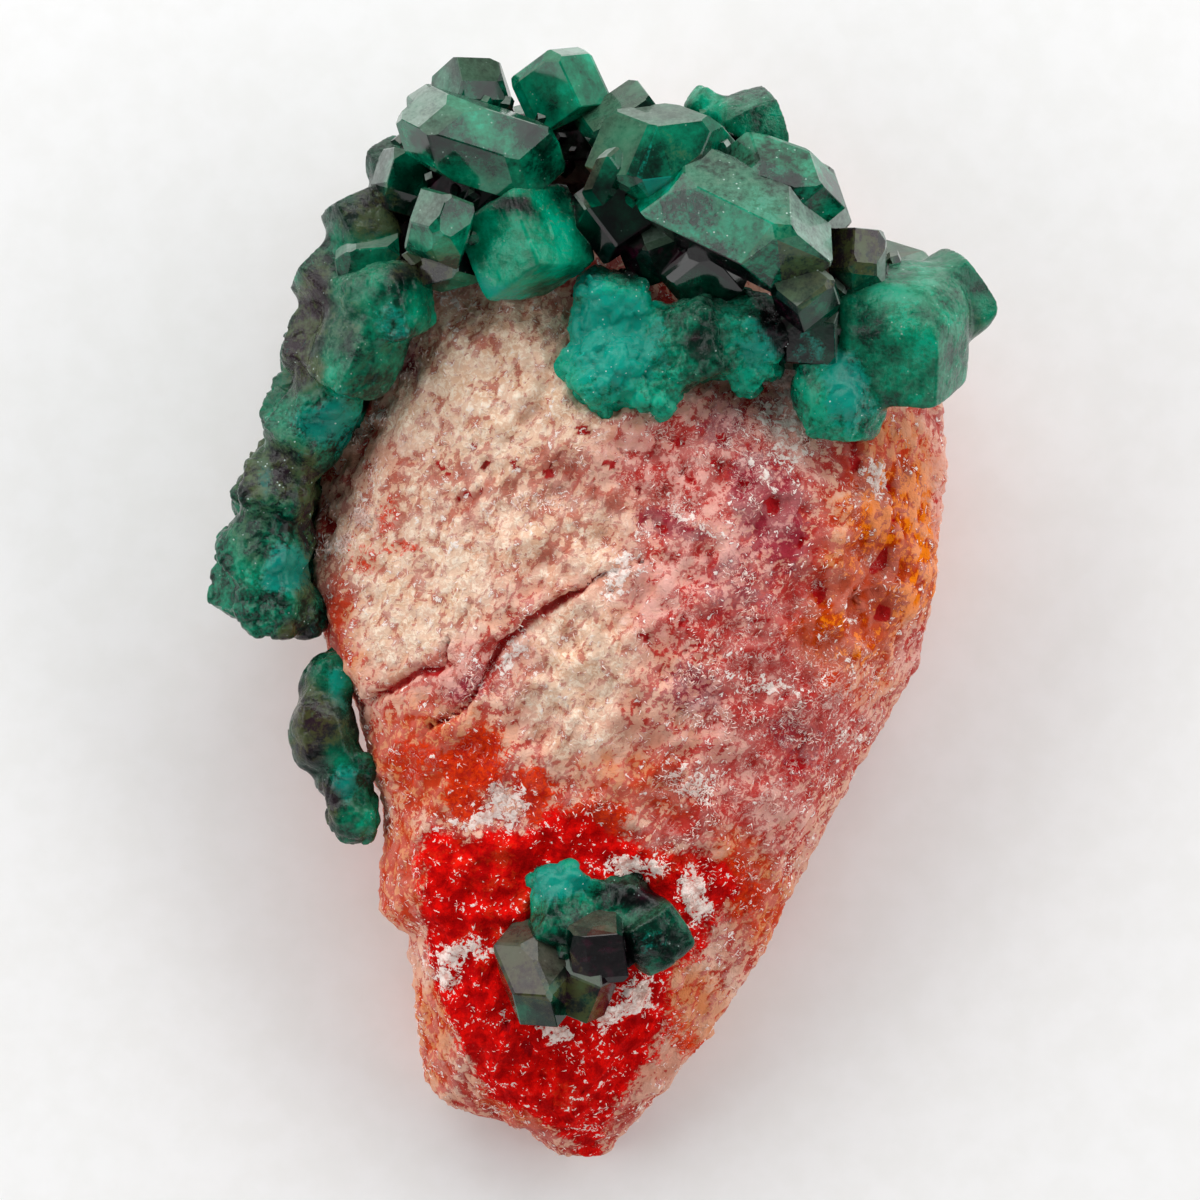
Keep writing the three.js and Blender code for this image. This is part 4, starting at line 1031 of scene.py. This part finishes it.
# Tints on the crystals, as spots.
tints = {
    "smoke": [
        [-15.9, 26.9, 3, 2.6, 0.8], [-20.6, 19.3, 2.4, 6, 0.9, -10], [-12.9, 23.2, 2.6, 1.4, 0.8, 20],
        [-23.4, 9.2, 4.5, 3.4, 0.75], [-20.6, 6.5, 1.1, 6, 0.9], [-20.6, -8.6, 2.6, 3.6, 0.9],
        [17.9, 24.5, 2.6, 2.4, 1], [14.4, 22.4, 2.4, 2.2, 0.9], [23.3, 25.5, 2.4, 1, 0.7, -10],
        [7.6, 29.8, 2.8, 1.4, 0.6, -20], [11.6, 25.2, 3.2, 3, 0.55], [-6.1, -25.6, 2.2, 3.4, 1, 20],
        [-1, -27.4, 2.4, 2, 1], [-19.3, -14.6, 1.6, 1.8, 0.8], [-1.2, 30.6, 1.6, 2.2, 0.6],
        [25.8, 19.4, 1.2, 3.4, 0.5, 20], [-7.8, 29.4, 2.2, 1.2, 0.4], [-25, 5.2, 2.2, 4, 0.55],
        [-18.4, 19.4, 2.6, 4, 0.55], [-21, 1, 1.4, 3, 0.7], [-22, -3, 2, 2, 0.8],
    ],
    "glow": [
        [3.7, 29.3, 1.3, 1.3, 1], [0.6, 18.2, 4, 4.6, 0.9], [-1.5, 22, 2, 1, 0.8, 30],
        [-22.5, 2.3, 2.6, 1.8, 0.9, 20], [-23.7, 8.7, 0.6, 1.4, 0.9], [-19.2, 12.6, 2.8, 2.2, 0.8, 20],
        [-3, -19.9, 2.4, 1.6, 1, 10], [16.8, 14.8, 2.2, 4, 0.85, 20], [10.9, 17.8, 2, 2, 0.7],
        [-7.4, 21.6, 3.4, 1.2, 0.6, -10], [-14.6, 19.4, 1.6, 2, 0.5], [-18.8, -6, 1, 2.2, 0.7],
        [-18, -13.2, 1, 1.8, 0.8], [20, 21.6, 1.4, 1.6, 0.4, -40], [3, -24.6, 1.6, 2.6, 0.35],
    ],
    # painted shadow: spots in the dark gaps between crystals
    "gloom": [
        [1.4, 24.8, 1.8, 2.8, 1, 15], [6.9, 23.7, 4.4, 1.3, 0.9, -8], [12.4, 18.9, 1.6, 2.4, 0.9, 20],
        [0.3, -25, 2.6, 2, 1], [-6, 27.6, 1.6, 0.9, 0.7], [7.2, 17.6, 1.6, 2, 0.6], [-22, -3.4, 1.8, 2, 0.5],
        [-20.4, -12, 1.2, 1.2, 0.7], [3, -20.6, 2.6, 1.4, 0.7],
    ],
}


# Where tints lie. Where nothing else is said, a pair is where an amount begins and where it is whole.
tinting = {
    "wander": [2.2, 0.8],  # width and height of the tints' ragged edges, in millimetres
    # painted shadow in the gaps: how deep a hollow lies, and how high above the floor
    "gapDepth": [0.5, 1.5],
    "paintedGapShadowHeight": [11, 16],
    "paintedReflectionWay": [-0.12, 0.78, 0.42],  # the direction that facets with the painted reflection face
    "film": [0.5, 0.76],
    "paintedReflectionChance": 0.42,
    # the painted reflection round the rim: where outward is counted from, and how facets face, rise and start
    "rimMiddle": [0, 10],  # the place from which outward is counted
    "rimFacing": [0.3, 0.6],
    "rimRise": [0.1, 0.25],
    "rimTop": [0.5, 0.75],
    "rimFade": 0.7,
    "rimChance": [0.25, 0.7],
    "rimStart": [8, 14],
}


def hollowDepth(rows, centres):  # the lesser rise of the crystals on the two sides of a place, over six lines
    step, low = 0.25, centres.min(0)[:2] - 3
    size = ((centres.max(0)[:2] + 3 - low) / step).astype(int)
    x, y = np.meshgrid(*(low[k] + step * np.arange(size[k]) for k in (0, 1)), indexing="ij")
    tops = skyline(rows, x.ravel(), y.ravel()).reshape(x.shape)
    total = 0
    for angle in np.arange(6) * math.pi / 6:
        for reach in (1.1, 2.2):
            way = reach * np.array([math.cos(angle), math.sin(angle)])
            spots = [((centres[:, :2] + side * way - low) / step).astype(int) for side in (-1, 1)]
            rises = [np.clip(tops[spot[:, 0], spot[:, 1]] - centres[:, 2], 0, 3) for spot in spots]
            total = total + np.minimum(*rises) / 12
    return total


def paintedRimReflectionShare(places, normals, facet):  # some facets round the outside that face outward and slope, which get a painted reflection
    outward = places[:, :2] - tinting["rimMiddle"]
    outward /= np.linalg.norm(outward, axis=1, keepdims=True)
    rim = smoothShare(*tinting["rimFacing"], np.sum(outward * normals[:, :2], axis=1))
    rim = rim * smoothShare(*tinting["rimRise"], normals[:, 2])
    rim = rim * (1 - tinting["rimFade"] * smoothShare(*tinting["rimTop"], normals[:, 2]))
    return rim * smoothShare(*tinting["rimChance"], facet) * smoothShare(*tinting["rimStart"], places[:, 1])


def tintCrystals(mesh, rows):  # tints by place, painted shadow in gaps, painted reflection on facets that look up and to +Y and on some round the rim
    centres, normals = arraysOf(mesh.polygons, "center", "normal")
    x, y, z = centres.T
    wanderSize, wanderHeight = tinting["wander"]
    wander = wanderHeight * layeredNoise(centres, wanderSize, 77, 3)
    amounts = {name: blobs(x + wander, y - wander, spots) for name, spots in tints.items()}
    # painted shadow where a face lies deep between crystals, only above the given height
    deep = smoothShare(*tinting["gapDepth"], hollowDepth(rows, centres))
    amounts["gloom"] = np.maximum(amounts["gloom"], deep) * smoothShare(*tinting["paintedGapShadowHeight"], z)
    facet = cellChance(np.round(normals * 6), 3)
    amounts["rim"] = paintedRimReflectionShare(centres, normals, facet)
    # painted reflection: grey-green on facets that face up and to +Y, towards the top lamp, on some facets
    # more than others
    turned = normals @ tinting["paintedReflectionWay"] + tinting["paintedReflectionChance"] * (facet - 0.5)
    amounts["film"] = smoothShare(*tinting["film"], turned)
    for name, amount in amounts.items():
        setAttribute(mesh, name, amount, "FACE")


crystalLook = {
    # noises: width in millimetres, detail, roughness and distortion
    "noises": [[3.4, 2, 0.5], [1, 4, 0.65], [0.3, 3, 0.7], [1.1, 4, 0.7, 2.4]],
    "glintSpacing": 0.5,
    "glow": "0a9c8c",
    "smoke": ["38202e", "56532e"],
    # painted reflections: grey-green shades on upward facets, and a pale grey round the rim
    "film": ["5c7862", "625a4e"],
    "rim": "b0beb6",
    # painted shadow: near-black purple shades for the gaps
    "gap": ["0a0309", "30041c"],
    "glint": "e8fff8",
    "shine": {"IOR": 1.6, "Coat Roughness": 0.05},
}


def dioptaseFinish(name, settings):  # a ramp from dark to light, with cloud, smoke, painted reflections and painted shadow in the gaps over it
    f = Finish(name)
    look = crystalLook
    tone, cloud, own, worn = (f.attribute(n) for n in ("tone", "cloud", "own", "worn"))
    smoke, glow, gloom, film, rim = (f.attribute(n) for n in ("smoke", "glow", "gloom", "film", "rim"))
    drift, mottle, dust, wisp = (f.noise(*values) for values in look["noises"])
    spotty = (mottle - 0.5) * 0.9 + (dust - 0.5) * 0.7
    light = tone * 0.55 + (drift - 0.5) * 1.5 + spotty * (cloud * 1.5 + 0.45)
    # the gap term lowers the ramp as painted shadow
    light = light + glow * 0.3 - gloom * 0.5 + 0.18
    shade = f.node("ShaderNodeValToRGB", {"stops": settings["ramp"]}, {"Fac": light.within(0, 1)})
    haze = (cloud + spotty + (wisp - 0.5) * 0.6).within(0.45, 1.15)
    shade = f.mix(haze * settings["cloudShare"], shade, settings["cloudShade"])
    shade = f.mix((glow + spotty * 1.1).within(0.35, 0.75) * 0.75, shade, look["glow"])
    smoky = f.mix((drift * 0.6 + mottle * 0.9 + dust * 0.5).within(0.88, 1.12), *look["smoke"])
    shade = f.mix((smoke + spotty * 0.9).within(0.35, 0.85) * 0.8, shade, smoky)
    # painted reflection: a grey-green laid on facets that face up and to +Y
    paintedReflectionShare = film * (1 - cloud) * (0.56 - worn * 0.34 + spotty * 1.1)
    shade = f.mix(paintedReflectionShare, shade, f.mix((own + (drift - 0.5) * 0.8).within(0.5, 0.9), *look["film"]))
    # painted reflection: a pale grey on outward, sloping facets round the rim
    shade = f.mix(rim * (1 - worn * 0.8) * (0.6 + spotty), shade, look["rim"])
    # painted shadow: near-black purple laid in the gaps between crystals
    gap = f.mix(mottle.within(0.5, 0.62), *look["gap"])
    shade = f.mix((gloom + spotty * 0.5).within(0.4, 0.75) * 0.9, shade, gap)
    streaks = wisp.within(0.62, 0.72) * (cloud.within(0.35, 0.9) * 0.35 + glow * 0.3 + 0.02)
    shade = f.mix(streaks, shade, settings["wispShade"])
    glint = (0.15 - f.cells(look["glintSpacing"])).within(0, 0.05)
    shade = f.mix(glint * mottle.within(0.5, 0.6) * (cloud * 1.1 + 0.05), shade, look["glint"])
    rough = mottle * 0.08 + own * 0.05 + dust * 0.06 + worn * 0.03 + haze * settings["cloudRoughness"]
    height = mottle * (worn * 0.8 + 0.08) + dust * (worn * 0.8 + cloud * 0.25 + 0.03)
    surface = f.principled({
        "Base Color": shade, "Roughness": rough, "Normal": f.bump(height, settings["bump"]),
        "Coat Weight": (1 - worn) * (1 - smoke * 0.7) * (own * 0.3 + 0.12),
        "Specular IOR Level": settings["shine"], "Transmission Weight": settings["clear"], **look["shine"],
    })
    depth = {"Color": colour(settings["depthShade"]), "Density": settings["density"]}
    return f.close(surface, f.node("ShaderNodeVolumeAbsorption", None, depth))


dioptase = {
    "ramp": [[0, "000c09"], [0.26, "00402e"], [0.52, "006e50"], [0.78, "008c66"], [1, "00b48c"]],
    "cloudShade": "009478", "wispShade": "0cd0ae", "cloudShare": 0.45, "cloudRoughness": 0.12,
    "clear": 0.28, "shine": 0.08, "bump": 0.06, "depthShade": "00c896", "density": 220,
}
brokenDioptase = {
    "ramp": [[0, "00281c"], [0.3, "005840"], [0.6, "008262"], [1, "08bc98"]],
    "cloudShade": "009876", "wispShade": "14e4cc", "cloudShare": 0.4, "cloudRoughness": 0.08,
    "clear": 0.2, "shine": 0.08, "bump": 0.08, "depthShade": "08d0ac", "density": 170,
}


# Pale slivers on the face: sizes in millimetres, and the most that one tips up as a slope.
needles = {
    "count": 10000, "length": [0.16, 0.5], "width": [0.022, 0.05], "scatter": 0.09, "slope": 0.45, "seed": 5,
    "shades": ["f0ccc0", "fff2ea"],
}


def needleWeight(points, normals, fields):  # most on frost and in patches of noise, few on red and in pits
    weight = 0.1 + 0.16 * fields["pink"] + 0.2 * fields["purple"] + 2 * fields["frost"]
    weight = weight * smoothShare(-0.1, 0.35, normals[..., 2]) * (1 - 0.7 * fields["red"])
    weight = weight * (0.02 + smoothShare(0.0, 0.6, layeredNoise(points, 1.5, 81, 2)) ** 2)
    return weight * (1 - 0.9 * fields["pit"])


def makeNeedles(points, normals, fields):  # four-cornered slivers laid near the rock's skin, tipped up
    pick = np.random.default_rng(needles["seed"])
    weight = needleWeight(points, normals, fields)
    chosen = pick.choice(weight.size, needles["count"], p=weight.ravel() / weight.sum())
    place, up = points.reshape(-1, 3)[chosen], normals.reshape(-1, 3)[chosen]
    place = place + pick.normal(0, needles["scatter"], place.shape)
    along = np.cross(up, pick.normal(size=place.shape))
    along /= np.linalg.norm(along, axis=1, keepdims=True)
    along = along + needles["slope"] * pick.random((len(place), 1)) * up
    across = np.cross(up, along)
    length = pick.uniform(*needles["length"], (len(place), 1))
    width = pick.uniform(*needles["width"], (len(place), 1))
    foot = place - 0.5 * length * along
    corners = np.stack([
        foot + width * across, foot - width * across, foot + 2.2 * width * up + 0.4 * length * along,
        place + 0.5 * length * along + 0.5 * width * up,
    ], 1)
    faces = np.array([[0, 2, 1], [0, 1, 3], [1, 2, 3], [2, 0, 3]])
    return makeObject("frostNeedles", meshFromSolids("frostNeedles", heldInside(corners * mm), faces))


def frostFinish():
    f = Finish("paleFrost")
    tint = f.noise(2.2, 3, 0.6)
    shade = f.mix(tint.within(0.35, 0.65), *needles["shades"])
    return f.close(f.principled({"Base Color": shade, "Roughness": tint * 0.3 + 0.25, "IOR": 1.5}))


def dress(piece, material, node):
    piece.data.materials.clear()
    piece.data.materials.append(material)
    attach(piece, "root")
    if node:
        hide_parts(node)


def makeCluster(number, name, rows, node, stone):  # the worn skin joined with sharp and small crystals
    firmness = {row[8]: crystals["worn"].get(row[8]) or crystals["wornRoots"] for row in rows if isWorn(row)}
    small = fillGaps(rows, infill["counts"][name], number)
    bodies = [sharpBody(row) for row in rows + small if row[8] not in firmness]
    if firmness:
        bodies.insert(0, fusedCrystals([row for row in rows if row[8] in firmness], firmness))
    mesh = uniteMeshes(name + "Crystals", bodies)
    tintCrystals(mesh, rows)
    placeMesh(mesh, shift)
    dress(makeObject(name + "Crystals", mesh), stone, node)
    print(name, len(rows), "crystals,", len(mesh.loops) - 2 * len(mesh.polygons), "triangles")


crownRows = crystals["crown"] + rootRows(roots["crown"], roots["crownSeeds"])
shoulderRows = crystals["shoulder"] + rootRows(roots["shoulder"], roots["shoulderSeeds"])
leftmost = min(planeCorners(*crystalPlanes(row))[0][:, 0].min() + row[0] for row in crownRows)
crownLow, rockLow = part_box("crown_crystals")[0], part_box("matrix")[0]
shift = np.array([crownLow[0] / mm - leftmost, rockLow[1] / mm - rock["start"], 0])
print("shift", shift)

rockPiece, rockPoints, rockNormals, rockFields = makeRock(shift)
dress(rockPiece, rockFinish(), "matrix")
print("rock made:", len(rockPiece.data.polygons), "faces")

needlePiece = makeNeedles(rockPoints, rockNormals, rockFields)
dress(needlePiece, frostFinish(), None)
print("slivers made:", len(needlePiece.data.polygons), "faces")

clearStone = dioptaseFinish("dioptase", dioptase)
cloudyStone = dioptaseFinish("brokenDioptase", brokenDioptase)
makeCluster(1, "crown", crownRows, "crown_crystals", clearStone)
makeCluster(2, "shoulder", shoulderRows, "shoulder_crystals", clearStone)
makeCluster(3, "lowerLeft", crystals["lowerLeft"], "lower_left_crystals", clearStone)
makeCluster(4, "front", crystals["front"], "front_crystals", clearStone)
makeCluster(5, "broken", crystals["broken"], "broken_crystals", cloudyStone)


studio = {
    "floorShades": ["f1f1f0", "f4f4f4"],
    "worldShade": "ffffff",
    "worldStrength": 0.16,
    # lamps: place, aimed at, width, height, power, in metres and watts
    "lamps": [
        [[0.0, 0.72, 0.46], [0, 0, 0.01], 1.4, 0.66, 8.6],
        [[-0.75, 0.1, 0.42], [0, 0, 0.01], 0.9, 0.56, 4.5],
        [[0.75, 0.15, 0.42], [0, 0, 0.01], 0.9, 0.56, 4.0],
        [[0.0, -0.8, 0.34], [0, 0, 0.01], 0.9, 0.5, 1.8],
    ],
    "cameraHeight": 0.476,
    "lens": 194.9,
    "viewMiddle": [-0.143, 0.071],
}


def makeStudio():
    f = Finish("paleFloor")
    grainy = f.noise(3.0, 3)
    shade = f.mix(grainy.within(0.3, 0.7), *studio["floorShades"])
    surface = f.principled({"Base Color": shade, "Roughness": 0.9, "Specular IOR Level": 0.2})
    mesh = makeMesh("floor", 3 * np.array([[-1, -1, 0], [1, -1, 0], [1, 1, 0], [-1, 1, 0]]), [(0, 1, 2, 3)])
    mesh.materials.append(f.close(surface))
    makeObject("floor", mesh)
    world = bpy.data.worlds.new("studio")
    world.use_nodes = True
    sky = world.node_tree.nodes["Background"].inputs
    sky["Color"].default_value = colour(studio["worldShade"])
    sky["Strength"].default_value = studio["worldStrength"]
    scene = bpy.context.scene
    scene.world = world
    for place, target, wide, high, power in studio["lamps"]:
        lamp = bpy.data.lights.new("softLamp", "AREA")
        lamp.shape, lamp.size, lamp.size_y, lamp.energy = "RECTANGLE", wide, high, power
        holder = makeObject("softLamp", lamp)
        holder.location = place
        holder.rotation_mode = "QUATERNION"
        holder.rotation_quaternion = (Vector(target) - Vector(place)).to_track_quat("-Z", "Y")
    camera = bpy.data.cameras.new("camera")
    camera.lens, camera.sensor_width, camera.clip_start = studio["lens"], 36, 0.01
    eye = makeObject("camera", camera)
    eye.location = [(studio["viewMiddle"][k] + shift[k]) * mm for k in (0, 1)] + [studio["cameraHeight"]]
    scene.camera = eye
    scene.view_settings.view_transform = "Standard"


makeStudio()
bpy.context.view_layer.update()
